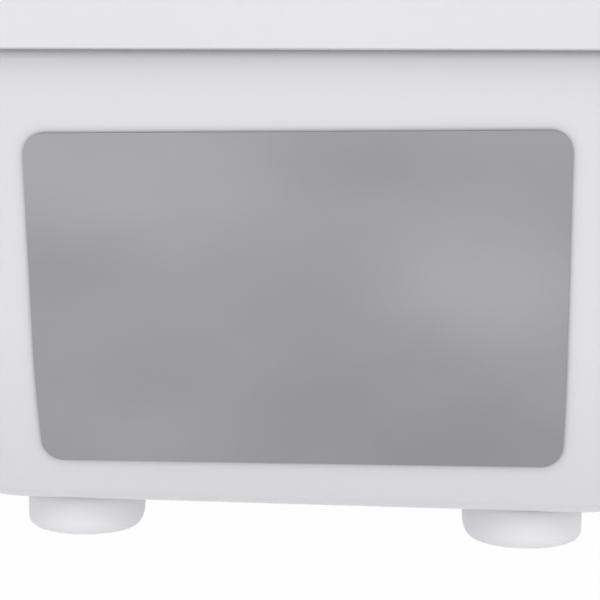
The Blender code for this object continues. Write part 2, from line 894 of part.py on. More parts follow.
plate_curve_steps = 8


def make_rating_plate():
    """A thin sheet that follows the rear wall, its corners rounded, set a hair out of level."""
    half = rating_plate_width / 2
    low, high = rating_plate_bottom, rating_plate_top
    corner = rating_plate_corner
    turns = [pi / 2 * i / fillet_steps for i in range(fillet_steps + 1)]
    levels = [(low + corner * (1 - cos(a)), corner * (1 - sin(a))) for a in turns]
    rows = high - low - 2 * corner
    levels += [(low + corner + rows * i / plate_curve_steps, 0.0) for i in range(1, plate_curve_steps)]
    levels += [(high - corner * (1 - cos(a)), corner * (1 - sin(a))) for a in reversed(turns)]
    middle = (low + high) / 2
    shape = bmesh.new()
    pairs = []
    for z, inset in levels:
        pair = []
        for side in (-1, 1):
            u, v = side * (half - inset), z - middle
            x = rating_plate_shift + u * cos(rating_plate_turn) - v * sin(rating_plate_turn)
            height = middle + u * sin(rating_plate_turn) + v * cos(rating_plate_turn)
            y = tub_rear - wall_inset(height, lip_rear_height) + seat_gap + rating_plate_thickness
            pair.append(shape.verts.new((x, y, height)))
        pairs.append(pair)
    for (a, b), (c, d) in zip(pairs, pairs[1:]):
        shape.faces.new((b, a, c, d))
    mesh = bpy.data.meshes.new("rating_plate")
    shape.to_mesh(mesh)
    shape.free()
    plate = place("rating_plate", mesh, silver_film)
    thicken(plate, rating_plate_thickness)
    return plate


def make_base_frame():
    """A steel channel on the tub's floor that carries the feet of the hinge brackets."""
    low = tub_floor + tub_wall + seat_gap
    high = bracket_foot_height - seat_gap
    frame = box("base_frame", (-frame_half_width, frame_front, low), (frame_half_width, frame_rear, high), steel)
    inner = frame_half_width - frame_thickness
    hollow = box("channel", (-inner, frame_front - cut_overrun, low + frame_thickness),
                 (inner, frame_rear + cut_overrun, high + cut_overrun))
    cut(frame, hollow)
    return frame


def make_power_board():
    low = tub_floor + tub_wall + seat_gap + frame_thickness + seat_gap
    half = power_board_width / 2
    board = box("power_board", (-power_board_length / 2, power_board_y - half, low),
                (power_board_length / 2, power_board_y + half, low + board_part_thickness), green_board)
    return board


def make_hinge_bracket(side):
    """A steel plate from the frame up into one cheek of the tower, with a hole for the shaft."""
    name = "hinge_bracket_left" if side < 0 else "hinge_bracket_right"
    head = arc((hinge_y, hinge_z), bracket_head_radius, 0.0, pi, corner_steps * 2)
    low = bracket_foot_height + bracket_thickness / 2
    outline = [(bracket_foot_front, low), (bracket_foot_rear, low)]
    outline += [(bracket_waist_rear, bracket_waist_height)]
    outline += head
    outline += [(bracket_waist_front, bracket_waist_height), (bracket_foot_front, bracket_foot_height * 2)]
    face = bracket_face
    ends = (face, face + bracket_thickness) if side > 0 else (-face - bracket_thickness, -face)
    bracket = flat(name, outline, ends[0], ends[1], SIDEWAYS, steel)
    foot_ends = sorted((side * bracket_foot_inner, side * (face + bracket_thickness / 2)))
    foot = box(name + "_foot", (foot_ends[0], bracket_foot_front + bracket_thickness, bracket_foot_height),
               (foot_ends[1], frame_rear, bracket_foot_height + bracket_thickness))
    join(bracket, foot)
    reach = face + bracket_thickness + cut_overrun
    start, end = (side * (face - cut_overrun), hinge_y, hinge_z), (side * reach, hinge_y, hinge_z)
    cut(bracket, rod(name + "_bore", start, end, shaft_radius + seat_gap, round_sides))
    return bracket


def make_hinge_shaft():
    ends = ((-shaft_half_length, hinge_y, hinge_z), (shaft_half_length, hinge_y, hinge_z))
    return rod("hinge_shaft", ends[0], ends[1], shaft_radius, round_sides, steel)


def side_point(y, z):
    """A point on the outer face of the tub's right side wall."""
    return Vector((flare(tub_half_width - tub_side_lean_share * wall_inset(z, lip_line(y)), y), y, z))


def side_frame(y, z, proud):
    """Axes on the tub's right side wall: along it, up it and out of it."""
    centre = side_point(y, z)
    along = (side_point(y + running_gap, z) - centre).normalized()
    up = side_point(y, z + running_gap) - centre
    out = along.cross(up).normalized()
    axes = Matrix((along, out.cross(along), out)).transposed()
    return Matrix.Translation(centre + out * proud) @ axes.to_4x4()


def in_frame(made, frame):
    """Moves a piece from its own axes into the given ones."""
    made.data.transform(frame)
    made.data.update()
    return made


def make_mains_inlet(tub):
    """A socket for a plug-in lead, let into the side wall, with its three pins."""
    frame = side_frame(inlet_y, inlet_z, seat_gap)
    width, height = inlet_flange_width / 2, inlet_flange_height / 2
    inlet = in_frame(box("mains_inlet", (-width, -height, 0.0), (width, height, inlet_flange_thickness)), frame)
    bodies = []
    width, height = inlet_body_width / 2, inlet_body_height / 2
    bodies.append(box("inlet_body", (-width, -height, -inlet_depth), (width, height, inlet_flange_thickness / 2)))
    join(inlet, in_frame(bodies[0], frame))
    hole = box("inlet_hole", (-width - seat_gap, -height - seat_gap, -tub_wall - cut_overrun),
               (width + seat_gap, height + seat_gap, cut_overrun))
    cut(tub, in_frame(hole, frame))
    width, height = width - inlet_wall, height - inlet_wall
    floor = inlet_wall - inlet_depth
    recess = box("inlet_recess", (-width, -height, floor), (width, height, inlet_flange_thickness + cut_overrun))
    cut(inlet, in_frame(recess, frame))
    for i in (-1, 0, 1):
        v = i * inlet_pin_pitch
        u = inlet_pin_step if i == 0 else -inlet_pin_step / 2
        low = (u - inlet_pin_height / 2, v - inlet_pin_thickness / 2, floor - inlet_wall / 2)
        high = (u + inlet_pin_height / 2, v + inlet_pin_thickness / 2, floor + inlet_pin_length)
        join(inlet, in_frame(box(f"inlet_pin_{i + 1}", low, high), frame))
    cutters.objects.unlink(inlet)
    press.objects.link(inlet)
    inlet.hide_render = False
    inlet.display_type = "TEXTURED"
    inlet.data.materials.append(black_plastic)
    return inlet


def make_lock_lever():
    """The carry lock's lever outside the right cheek, with its pin and cam inside."""
    tip = (lock_y - lock_length, lock_z)
    face = flare(housing_half_width, tip[0] - lock_tip_radius) + seat_gap
    out = face + lock_thickness
    outline = arc((lock_y, lock_z), lock_hub_radius, -pi / 2, pi / 2, corner_steps)
    outline += arc(tip, lock_tip_radius, pi / 2, 3 * pi / 2, corner_steps)
    lever = flat("lock_lever", outline, face, out, SIDEWAYS, grey_shell)
    inner = housing_half_width - housing_wall - seat_gap
    pin = rod("lock_pin", (inner - lock_cam_thickness / 2, lock_y, lock_z),
              (face + lock_thickness / 2, lock_y, lock_z), lock_pin_radius, small_sides)
    cam = rod("lock_cam", (inner - lock_cam_thickness, lock_y, lock_z), (inner, lock_y, lock_z), lock_cam_radius,
              small_sides)
    return join(lever, pin, cam)


# Board


def board_outline(inset, steps=corner_steps):
    corner = board_corner - inset
    return rounded(board_half_length - inset, board_half_width - inset, corner, (0.0, board_y), steps)


pan_edge_shares = (0.0, 1 / 3, 2 / 3, 1.0)


def make_board_pan():
    turns = [-pi / 2 + pi / 2 * share for share in pan_edge_shares]
    radius = pan_edge_radius
    rings = [at_height(board_outline(radius * (1 - cos(a))), pan_bottom + radius * (1 + sin(a))) for a in turns]
    rings.append(at_height(board_outline(0.0), pan_top))
    return thicken(loft("board_pan", rings, grey_shell, close_last=False), pan_wall)


def make_board_pad():
    """The foam pad: flat where the plate rests, crowned to its round upper edge, drawn in below."""
    side = pan_wall + pad_gap
    foot = pan_bottom + pan_wall + pad_gap
    rings = [at_height(board_outline(pan_edge_radius + pad_gap), foot)]
    rings.append(at_height(board_outline(side), foot + pan_edge_radius))
    rings.append(at_height(board_outline(side), pad_top - pad_round))
    for share in (0.33, 0.66, 1.0):
        a = pi / 2 * share
        inset = side + pad_round * (1 - cos(a))
        rings.append(at_height(board_outline(inset), pad_top - pad_crown - pad_round * (1 - sin(a))))
    rings.append(at_height(board_outline(side + pad_round * 2), pad_top))
    return loft("board_pad", rings, foam)


cloth_corner_steps = cloth_ring_points // 4 - 1


def cloth_ring(inset, z, folds=0.0, turn=0.0):
    """A ring of the cover, pushed out by folds along a direction between outwards and downwards."""
    outline = board_outline(inset, cloth_corner_steps)
    ring = []
    count = len(outline)
    for i, (x, y) in enumerate(outline):
        wave = folds * (1 - cos(2 * pi * cloth_folds * i / count)) / 2
        reach = hypot(x, y - board_y)
        grown = 1 + wave * cos(turn) / reach
        ring.append((x * grown, board_y + (y - board_y) * grown, z - wave * sin(turn)))
    return ring


def make_board_cover():
    """The cloth over the pad, down the pan's side and gathered under it by its hem."""
    cover_offset = seat_gap + cloth_thickness
    radius = pan_edge_radius + cover_offset
    rings = [cloth_ring(cloth_hem_inset, pan_bottom - cover_offset, cloth_fold_depth, pi / 2)]
    for share in pan_edge_shares:
        a = pi / 2 * share
        z = pan_bottom + pan_edge_radius - radius * cos(a)
        folds = cloth_fold_depth * (1 - share * 2 / 3)
        rings.append(cloth_ring(pan_edge_radius - radius * sin(a), z, folds, pi / 2 - a))
    rings.append(cloth_ring(-cover_offset, pad_top - pad_round))
    for share in (0.33, 0.66, 1.0):
        a = pi / 2 * share
        inset = pad_round * (1 - cos(a)) - cover_offset
        rings.append(cloth_ring(inset, board_surface - pad_crown - pad_round * (1 - sin(a))))
    rings.append(cloth_ring(pan_wall + pad_gap + pad_round * 2, board_surface))
    cover = loft("board_cover", rings, cloth, close_first=False)
    return thicken(cover, cloth_thickness)


def make_board_bracket():
    """A steel plate on four posts that carries the pan over the deck."""
    high = pan_bottom - cloth_thickness - 2 * seat_gap
    low = high - bracket_plate_thickness
    bracket = box("board_bracket",
                  (-bracket_plate_half_length, board_y - bracket_plate_half_width, low),
                  (bracket_plate_half_length, board_y + bracket_plate_half_width, high), steel)
    for sx in (-1, 1):
        for sy in (-1, 1):
            x, y = sx * post_x, board_y + sy * post_y
            name = f"post_{'r' if sx > 0 else 'l'}_{'b' if sy > 0 else 'f'}"
            top = low + bracket_plate_thickness / 2
            join(bracket, rod(name, (x, y, deck_height + seat_gap), (x, y, top), post_radius, small_sides))
            rest = pan_bottom - seat_gap
            join(bracket, rod(name + "_top", (x, y, top), (x, y, rest), post_radius / 2, small_sides))
    return bracket


# Hot plate


def plate_outline(inset, steps=corner_steps):
    corner = plate_corner - inset
    return rounded(plate_half_length - inset, plate_half_width - inset, corner, (0.0, board_y), steps)


def make_soleplate():
    rings = [at_height(plate_outline(sole_edge), sole_bottom)]
    rings.append(at_height(plate_outline(0.0), sole_bottom + sole_edge))
    rings.append(at_height(plate_outline(0.0), sole_top))
    sole = loft("soleplate", rings, aluminium)
    first = -(steam_hole_columns - 1) / 2
    for row in (-1, 0, 1):
        for column in range(steam_hole_columns):
            x = (first + column) * steam_hole_pitch
            y = board_y + row * steam_hole_row_pitch
            start = (x, y, sole_bottom - cut_overrun)
            end = (x, y, sole_bottom + steam_hole_depth)
            cut(sole, rod(f"steam_hole_{row + 1}_{column}", start, end, steam_hole_radius, 8))
    return sole


def make_heating_element():
    """A tube heater bent round the steam chamber, both tails at the rear."""
    z = sole_top + seat_gap + heater_radius
    corner = heater_half_width / 2
    points = []
    for x, y, start in ((-1, 1, pi / 2), (-1, -1, pi), (1, -1, 3 * pi / 2), (1, 1, 2 * pi)):
        centre = (x * (heater_half_length - corner), board_y + y * (heater_half_width - corner))
        points += arc(centre, corner, start, start + pi / 2, fillet_steps)
    points = [(-heater_tail_x, board_y + heater_half_width)] + points
    points.append((heater_tail_x, board_y + heater_half_width))
    return tube("heating_element", at_height(points, z), heater_radius, steel)


def make_chamber_lid():
    low = sole_top + seat_gap
    lid = box("steam_chamber_lid", (-lid_half_length, board_y - lid_half_width, low),
              (lid_half_length, board_y + lid_half_width, low + lid_height), aluminium)
    inner_x, inner_y = lid_half_length - lid_wall, lid_half_width - lid_wall
    cut(lid, box("lid_hollow", (-inner_x, board_y - inner_y, low - cut_overrun),
                 (inner_x, board_y + inner_y, low + lid_height - lid_wall)))
    return lid


shield_bottom = sole_top + seat_gap + lid_height + seat_gap


def make_heat_shield():
    outline = rounded(shield_half_length, shield_half_width, shield_corner, (0.0, board_y), fillet_steps)
    return flat("heat_shield", outline, shield_bottom, shield_bottom + shield_thickness, LYING, steel)


plate_dome_shares = ((1.0, 0.0), (1.0, 0.30), (0.985, 0.50), (0.94, 0.65), (0.83, 0.80), (0.64, 0.91),
                     (0.40, 0.975), (0.14, 1.0))


def make_plate_cover():
    """The white dome over the hot plate: an upright rim, then a long flat crown."""
    rings = []
    for size, rise in plate_dome_shares:
        ring = [(x * size, board_y + (y - board_y) * size) for x, y in plate_outline(0.0)]
        rings.append(at_height(ring, plate_cover_bottom + plate_cover_height * rise))
    cover = loft("plate_cover", rings, white_shell, close_first=False)
    return thicken(cover, plate_cover_wall)


def make_plate_yoke():
    """The bracket on the dome by which the hot plate hangs on its pivot."""
    low = plate_cover_top + seat_gap
    yoke = box("plate_yoke", (-yoke_half_length, board_y - yoke_half_width, low),
               (yoke_half_length, board_y + yoke_half_width, low + yoke_base), steel)
    for side in (-1, 1):
        name = "left" if side < 0 else "right"
        head = arc((board_y, pivot_z), yoke_lug_radius, 0.0, pi, corner_steps)
        outline = [(board_y - yoke_lug_radius, low + yoke_base / 2), (board_y + yoke_lug_radius, low + yoke_base / 2)]
        ends = sorted((side * yoke_lug_inner, side * (yoke_lug_inner + yoke_lug_thickness)))
        lug = flat("yoke_lug_" + name, outline + head, ends[0], ends[1], SIDEWAYS)
        join(yoke, lug)
    reach = yoke_half_length + cut_overrun
    bore = pivot_pin_radius + pivot_hole_gap
    cut(yoke, rod("yoke_bore", (-reach, board_y, pivot_z), (reach, board_y, pivot_z), bore, small_sides))
    return yoke


def make_pivot_pin():
    ends = ((-pivot_pin_half_length, board_y, pivot_z), (pivot_pin_half_length, board_y, pivot_z))
    return rod("plate_pivot_pin", ends[0], ends[1], pivot_pin_radius, small_sides, steel)


def make_plate_fittings():
    """Thermostat and thermal fuse on the hot plate, and the steam valve on its shield."""
    low = sole_top + seat_gap
    thermostat = rod("thermostat", (thermostat_x, board_y, low), (thermostat_x, board_y, low + thermostat_height),
                     thermostat_radius, round_sides, black_plastic)
    z = low + fuse_radius
    fuse = rod("thermal_fuse", (fuse_x, board_y - fuse_half_length, z), (fuse_x, board_y + fuse_half_length, z),
               fuse_radius, small_sides, brass)
    low = shield_bottom + shield_thickness + seat_gap
    valve = rod("steam_valve", (valve_x, board_y, low), (valve_x, board_y, low + valve_height), valve_radius,
                round_sides, brass)
    return thermostat, fuse, valve


# Arm


def arm_width(y):
    """The arm's half width, which grows from the hinge barrel to the handle."""
    grown = max(0.0, tower_front - y) / (tower_front - arm_nose)
    return barrel_half_width + (arm_front_half_width - barrel_half_width) * grown


panel_front_z = arm_top - arm_panel_drop
panel_rear_z = arm_top - arm_nose_radius / 8


nose_drop_share = 1.3
throat_rise_share = 0.84


def arm_profile():
    """The arm's side outline: over the barrel, forward along the top, round the nose and back below."""
    barrel = arc((hinge_y, hinge_z), barrel_radius, arm_barrel_start, arm_barrel_end, arm_barrel_steps)
    nose = (arm_nose + arm_nose_radius, panel_front_z - arm_nose_radius * nose_drop_share)
    chin = (arm_nose + arm_nose_radius, arm_bottom + arm_nose_radius)
    points = list(barrel)
    points.append((arm_flat_rear + arm_nose_radius, arm_top - arm_nose_radius / 8))
    points.append((arm_flat_rear, arm_top))
    points.append((bay_front - arm_nose_radius / 2, arm_top))
    points.append((arm_panel_rear, panel_rear_z))
    points.append((arm_panel_front, panel_front_z))
    points += arc(nose, arm_nose_radius, pi * 0.56, pi, fillet_steps)
    points += arc(chin, arm_nose_radius, pi, pi * 1.5, fillet_steps)
    points.append((arm_throat_y - arm_nose_radius, arm_bottom))
    points.append((arm_throat_y, arm_bottom - arm_throat_drop / 4))
    points.append((arm_throat_y + arm_nose_radius, arm_bottom - arm_throat_drop))
    last = barrel[0]
    points.append((last[0] - arm_nose_radius / 4, last[1] + arm_nose_radius * throat_rise_share))
    return points


def drawn_in(points, distance):
    """The outline moved inwards by a distance, corner by corner."""
    moved = []
    for i, (y, z) in enumerate(points):
        before, after = points[i - 1], points[(i + 1) % len(points)]
        one = Vector((y - before[0], z - before[1])).normalized()
        two = Vector((after[0] - y, after[1] - z)).normalized()
        across = Vector((-(one.y + two.y), one.x + two.x)).normalized()
        stretch = 1 / max(0.5, across.dot(Vector((-one.y, one.x))))
        moved.append((y + across.x * distance * stretch, z + across.y * distance * stretch))
    return moved


arm_edge_steps = 3


def arm_block(name, wall, material=None):
    """The arm as a solid with round edges, or its hollow when a wall is given."""
    profile = arm_profile()
    edge = arm_edge_radius - wall
    turns = [pi / 2 * i / arm_edge_steps for i in range(arm_edge_steps + 1)]
    insets = [(wall + edge * (1 - sin(a)), wall + edge * (1 - cos(a))) for a in turns]
    places = [(-1, *pair) for pair in insets] + [(1, *pair) for pair in reversed(insets)]
    rings = []
    for side, inset, depth in places:
        ring = drawn_in(profile, inset) if inset else profile
        rings.append([(side * (arm_width(y) - depth), y, z) for y, z in ring])
    return loft(name, rings, material, cap=slice_cap)


def bay_outline(grow):
    half_length = (bay_rear - bay_front) / 2 + grow
    middle = (0.0, (bay_rear + bay_front) / 2)
    return rounded(bay_half_width + grow, half_length, bay_corner + grow, middle, fillet_steps)


def panel_frame():
    """Axes on the arm's sloping front: along the arm's width, up the slope and out of it."""
    run, drop = arm_panel_rear - arm_panel_front, panel_rear_z - panel_front_z
    tilt = atan2(drop, run)
    middle = (0.0, (arm_panel_rear + arm_panel_front) / 2, (panel_rear_z + panel_front_z) / 2)
    return Matrix.Translation(middle) @ Matrix.Rotation(tilt, 4, "X")


def arm_solid(name, material):
    """The hollow arm with its bay, its bores and the openings of its panel, not yet split."""
    arm = arm_block(name, 0.0, material)
    hollow = arm_block(name + "_hollow", arm_wall)
    bay_wall = flat(name + "_bay_wall", bay_outline(arm_wall), bay_floor - arm_wall, arm_top + cut_overrun)
    cut(hollow, bay_wall)
    cut(arm, hollow)
    cut(arm, flat(name + "_bay", bay_outline(0.0), bay_floor, arm_top + cut_overrun))
    reach = barrel_half_width + cut_overrun
    bore = shaft_radius + running_gap * 3
    cut(arm, rod(name + "_bore", (-reach, hinge_y, hinge_z), (reach, hinge_y, hinge_z), bore, hole_sides))
    x = yoke_lug_inner + yoke_lug_thickness + running_gap * 4
    y = yoke_lug_radius + running_gap * 5
    cut(arm, box(name + "_yoke_slot", (-x, board_y - y, arm_bottom - cut_overrun),
                 (x, board_y + y, arm_bottom + arm_wall + cut_overrun / 2)))
    for side in (-1, 1):
        ends = sorted((side * (handle_bracket_inner - seat_gap),
                       side * (handle_bracket_inner + handle_bracket_width + seat_gap)))
        high = handle_tongue_half_height + seat_gap
        cut(arm, box(f"{name}_tongue_{'r' if side > 0 else 'l'}",
                     (ends[0], arm_nose - cut_overrun, handle_tongue_z - high),
                     (ends[1], arm_nose + arm_wall + cut_overrun, handle_tongue_z + high)))
    return arm


def split_region(name, below):
    """Everything below or above the joint between the arm's two covers."""
    gap = arm_split_gap / 2
    far = board_half_length
    height = arm_split_height - gap if below else arm_split_height + gap
    drop = -gap if below else gap
    line = [(-far, height), (tower_front, height), (hinge_y, hinge_z + drop), (far, hinge_z + drop)]
    edge = 0.0 if below else board_half_length
    outline = line + [(far, edge), (-far, edge)]
    return flat(name, outline, -far, far, SIDEWAYS)


def make_arm_covers():
    lower = arm_solid("arm_lower_cover", white_shell)
    combine(lower, split_region("below_joint", True), "INTERSECT")
    upper = arm_solid("arm_upper_cover", white_shell)
    combine(upper, split_region("above_joint", False), "INTERSECT")
    frame = panel_frame()
    deep = -arm_wall - cut_overrun
    dial = rod("cover_dial_hole", (0.0, 0.0, deep), (0.0, 0.0, cut_overrun), dial_shaft_radius + running_gap,
               hole_sides)
    cut(upper, in_frame(dial, frame))
    wide, long = rocker_half_width + running_gap, rocker_half_length + running_gap
    rocker = box("cover_rocker_hole", (rocker_x - wide, -long, deep), (rocker_x + wide, long, cut_overrun))
    cut(upper, in_frame(rocker, frame))
    hole = tank_valve_radius + running_gap * 2
    spot = (tank_valve_x, tank_valve_y)
    cut(upper, rod("valve_hole", (*spot, bay_floor - arm_wall - cut_overrun / 2), (*spot, bay_floor + cut_overrun),
                   hole, hole_sides))
    return lower, upper


def make_arm_frame():
    """Two steel rails from the hinge to the handle, tied by cross pieces and the pivot's ears."""
    hub_front = (hinge_y, hinge_z)
    outline = [(rail_front, rail_bottom), (rail_rise_y, rail_bottom)]
    outline += [(rail_neck_front, rail_neck_bottom), (rail_neck_rear, rail_neck_bottom)]
    outline += arc(hub_front, hub_radius, pi, pi * 2.45, corner_steps * 2)
    outline += [(tower_front - arm_wall, rail_top), (rail_front, rail_top)]
    ends = (rail_inner, rail_inner + rail_thickness)
    frame = flat("arm_frame", outline, ends[0], ends[1], SIDEWAYS, steel)
    other = flat("rail_left", outline, -ends[1], -ends[0], SIDEWAYS)
    middle = rail_inner + rail_thickness / 2
    cross = box("front_cross", (-front_cross_half_length, rail_front, handle_tongue_z - handle_tongue_half_height),
                (front_cross_half_length, rail_front + beam_thickness, handle_tongue_z + handle_tongue_half_height))
    pieces = [cross]
    for side in (-1, 1):
        y = board_y + side * beam_reach
        low = (-middle, y - beam_thickness / 2, rail_bottom)
        name = "beam_rear" if side > 0 else "beam_front"
        pieces.append(box(name, low, (middle, y + beam_thickness / 2, beam_top)))
        x = sorted((side * ear_inner, side * (ear_inner + beam_thickness)))
        name = "ear_right" if side > 0 else "ear_left"
        pieces.append(box(name, (x[0], board_y - beam_reach, rail_bottom), (x[1], board_y + beam_reach, beam_top)))
    join(frame, other, *pieces)
    reach = ear_inner + beam_thickness + cut_overrun
    bore = pivot_pin_radius + pivot_hole_gap
    cut(frame, rod("ear_bore", (-reach, board_y, pivot_z), (reach, board_y, pivot_z), bore, small_sides))
    reach = rail_inner + rail_thickness + cut_overrun
    bore = bush_radius + seat_gap
    cut(frame, rod("hub_bore", (-reach, hinge_y, hinge_z), (reach, hinge_y, hinge_z), bore, round_sides))
    return frame


def make_bush(side):
    """A plain bush in a rail's hub, on the shaft, with a collar inside the rail."""
    name = "hinge_bush_left" if side < 0 else "hinge_bush_right"
    start = rail_inner - seat_gap
    bore = shaft_radius + seat_gap
    collar = bush_radius + shaft_radius / 3
    length = rail_thickness + seat_gap
    profile = [(bore, length), (bush_radius, length), (bush_radius, 0.0), (collar, 0.0),
               (collar, -bush_width / 2), (bore, -bush_width / 2)]
    profile = profile[1:] + profile[:1]
    return turned(name, profile, (side * start, hinge_y, hinge_z), (side, 0.0, 0.0), round_sides, brass)


def make_balance_spring(side):
    """A torsion spring coiled round the shaft, one leg on the shaft and one on the arm's rail."""
    name = "balance_spring_left" if side < 0 else "balance_spring_right"
    per_turn = spring_points_per_turn
    points = [(side * spring_inner_end, hinge_y - shaft_radius - seat_gap, hinge_z)]
    for i in range(spring_turns * per_turn + 1):
        a = 2 * pi * i / per_turn
        x = side * (spring_inner_end + spring_pitch * i / per_turn)
        points.append((x, hinge_y - spring_radius * cos(a), hinge_z + spring_radius * sin(a)))
    leg_y, leg_z = hinge_y - spring_leg_radius, hinge_z + spring_leg_rise
    points.append((points[-1][0] + side * spring_wire_radius, leg_y, leg_z))
    points.append((side * (rail_inner - seat_gap), leg_y, leg_z + spring_wire_radius))
    return tube(name, points, spring_wire_radius, steel, 1)


def make_tank():
    """The water tank: a box with round corners, hollow, with a filler hole in its top."""
    grow = -tank_gap
    low = bay_floor + tank_gap / 2
    rings = [at_height(bay_outline(grow - tank_edge), low), at_height(bay_outline(grow), low + tank_edge)]
    rings += [at_height(bay_outline(grow), tank_top - tank_edge), at_height(bay_outline(grow - tank_edge), tank_top)]
    tank = loft("water_tank", rings, clear_blue)
    inside = flat("tank_inside", bay_outline(grow - tank_wall), low + tank_wall, tank_top - tank_wall)
    cut(tank, inside)
    cut(tank, box("filler", (-filler_half_width, filler_front, tank_top - tank_wall - cut_overrun / 2),
                  (filler_half_width, filler_rear, tank_top + cut_overrun)))
    spot = (tank_valve_x, tank_valve_y)
    cut(tank, rod("tank_outlet", (*spot, low - cut_overrun), (*spot, low + cut_overrun),
                  tank_valve_radius / 2 + seat_gap, hole_sides))
    return tank


cap_axis_z = tank_top + seat_gap + cap_thickness / 2
cap_axis_y = filler_rear + cap_margin


def make_tank_cap():
    low = tank_top + seat_gap
    wide = filler_half_width + cap_margin
    cap = box("tank_cap", (-wide, filler_front - cap_margin, low), (wide, cap_axis_y, low + cap_thickness), grey_shell)
    knuckle = rod("cap_knuckle", (-wide, cap_axis_y, cap_axis_z), (wide, cap_axis_y, cap_axis_z), cap_thickness / 2,
                  small_sides)
    return join(cap, knuckle)


def make_tank_valve():
    """The tank's outlet, which seats in the arm's socket."""
    x, y = tank_valve_x, tank_valve_y
    top = bay_floor + tank_gap / 2 - seat_gap
    valve = rod("tank_valve", (x, y, top - tank_valve_length), (x, y, top), tank_valve_radius, small_sides,
                black_plastic)
    stem = rod("valve_stem", (x, y, top - seat_gap), (x, y, top + tank_wall * 2), tank_valve_radius / 2, small_sides)
    return join(valve, stem)


def make_tank_socket():
    x, y = tank_valve_x, tank_valve_y
    high = bay_floor - arm_wall - seat_gap
    socket = rod("tank_socket", (x, y, high - tank_socket_height), (x, y, high), tank_socket_radius, small_sides,
                 black_plastic)
    bore = tank_valve_radius + running_gap
    cut(socket, rod("socket_bore", (x, y, high - tank_socket_height + arm_wall / 2), (x, y, high + cut_overrun),
                    bore, small_sides))
    return socket


def make_pump():
    z = arm_bottom + arm_wall + seat_gap + pump_radius
    return rod("water_pump", (-pump_half_length, pump_y, z), (pump_half_length, pump_y, z), pump_radius, round_sides,
               black_plastic)


def make_water_hose():
    """The hose from the tank's socket to the pump."""
    x, y = tank_valve_x, tank_valve_y
    z = bay_floor - arm_wall - seat_gap - tank_socket_height / 2
    start = y + tank_socket_radius + seat_gap + hose_drop / 8
    end_x = pump_half_length + seat_gap
    pump_z = arm_bottom + arm_wall + seat_gap + pump_radius
    points = [(x, start, z), (x, start + hose_radius * 3, z)]
    points += [(x, pump_y - hose_radius * 5, z), (x - hose_radius, pump_y - hose_radius * 2, (z + pump_z) / 2)]
    points += [(x - hose_radius * 3, pump_y, pump_z), (end_x, pump_y, pump_z)]
    return tube("water_hose", points, hose_radius, hose_clear)


# Handle and controls


def make_handle_bracket(side):
    """A moulded end that is bolted to the arm's frame and holds the bar, with a boss for a button."""
    name = "handle_bracket_left" if side < 0 else "handle_bracket_right"
    half = handle_tongue_half_height
    inner_end = rail_front - seat_gap
    outline = [(inner_end, handle_tongue_z - half)]
    outline += [(inner_end, handle_tongue_z + half)]
    outline += [(arm_nose - running_gap, handle_tongue_z + half)]
    outline += [(handle_boss_y + handle_boss_half_width, handle_boss_top)]
    outline += [(handle_boss_y - handle_boss_half_width, handle_boss_top)]
    outline += arc((handle_y, handle_z), handle_end_radius, pi * 0.4, pi * 1.6, corner_steps * 2)
    outline += [(handle_boss_y, handle_tongue_z - half * 1.5), (arm_nose - running_gap, handle_tongue_z - half)]
    ends = sorted((side * handle_bracket_inner, side * (handle_bracket_inner + handle_bracket_width)))
    bracket = flat(name, outline, ends[0], ends[1], SIDEWAYS, white_shell)
    start = side * (handle_bracket_inner - cut_overrun)
    end = side * (handle_bracket_inner + handle_bracket_width - cut_overrun)
    bore = handle_bar_radius + seat_gap
    cut(bracket, rod(name + "_bore", (start, handle_y, handle_z), (end, handle_y, handle_z), bore, small_sides))
    x = side * (handle_bracket_inner + handle_bracket_width / 2)
    low = handle_boss_top - steam_button_pocket
    pocket = steam_button_radius + steam_button_gap
    cut(bracket, rod(name + "_pocket", (x, handle_boss_y, low), (x, handle_boss_y, handle_boss_top + cut_overrun),
                     pocket, round_sides))
    return bracket


def make_steam_button(side):
    name = "steam_button_left" if side < 0 else "steam_button_right"
    x = side * (handle_bracket_inner + handle_bracket_width / 2)
    top = handle_boss_top + steam_button_proud
    low = top - steam_button_height
    edge = steam_button_gap * 2
    profile = [(0.0, top), (steam_button_radius - edge, top), (steam_button_radius, top - edge),
               (steam_button_radius, low), (0.0, low)]
    return turned(name, profile, (x, handle_boss_y, 0.0), (0.0, 0.0, 1.0), round_sides, grey_shell)


def make_handle_bar():
    half = handle_bracket_inner + handle_bracket_width - cut_overrun - seat_gap
    return rod("handle_bar", (-half, handle_y, handle_z), (half, handle_y, handle_z), handle_bar_radius, small_sides,
               steel)


def make_handle_grip():
    """A soft sleeve on the bar, a little fuller at its middle."""
    half = handle_bracket_inner - seat_gap
    bore = handle_bar_radius + seat_gap
    edge = grip_swell * 2
    steps = grip_steps
    profile = [(bore, half), (grip_radius - edge, half)]
    for i in range(steps + 1):
        share = 1 - 2 * i / steps
        profile.append((grip_radius + grip_swell * (1 - share**2), (half - edge) * share))
    profile += [(grip_radius - edge, -half), (bore, -half)]
    return turned("handle_grip", profile, (0.0, handle_y, handle_z), (1.0, 0.0, 0.0), round_sides, soft_grip)


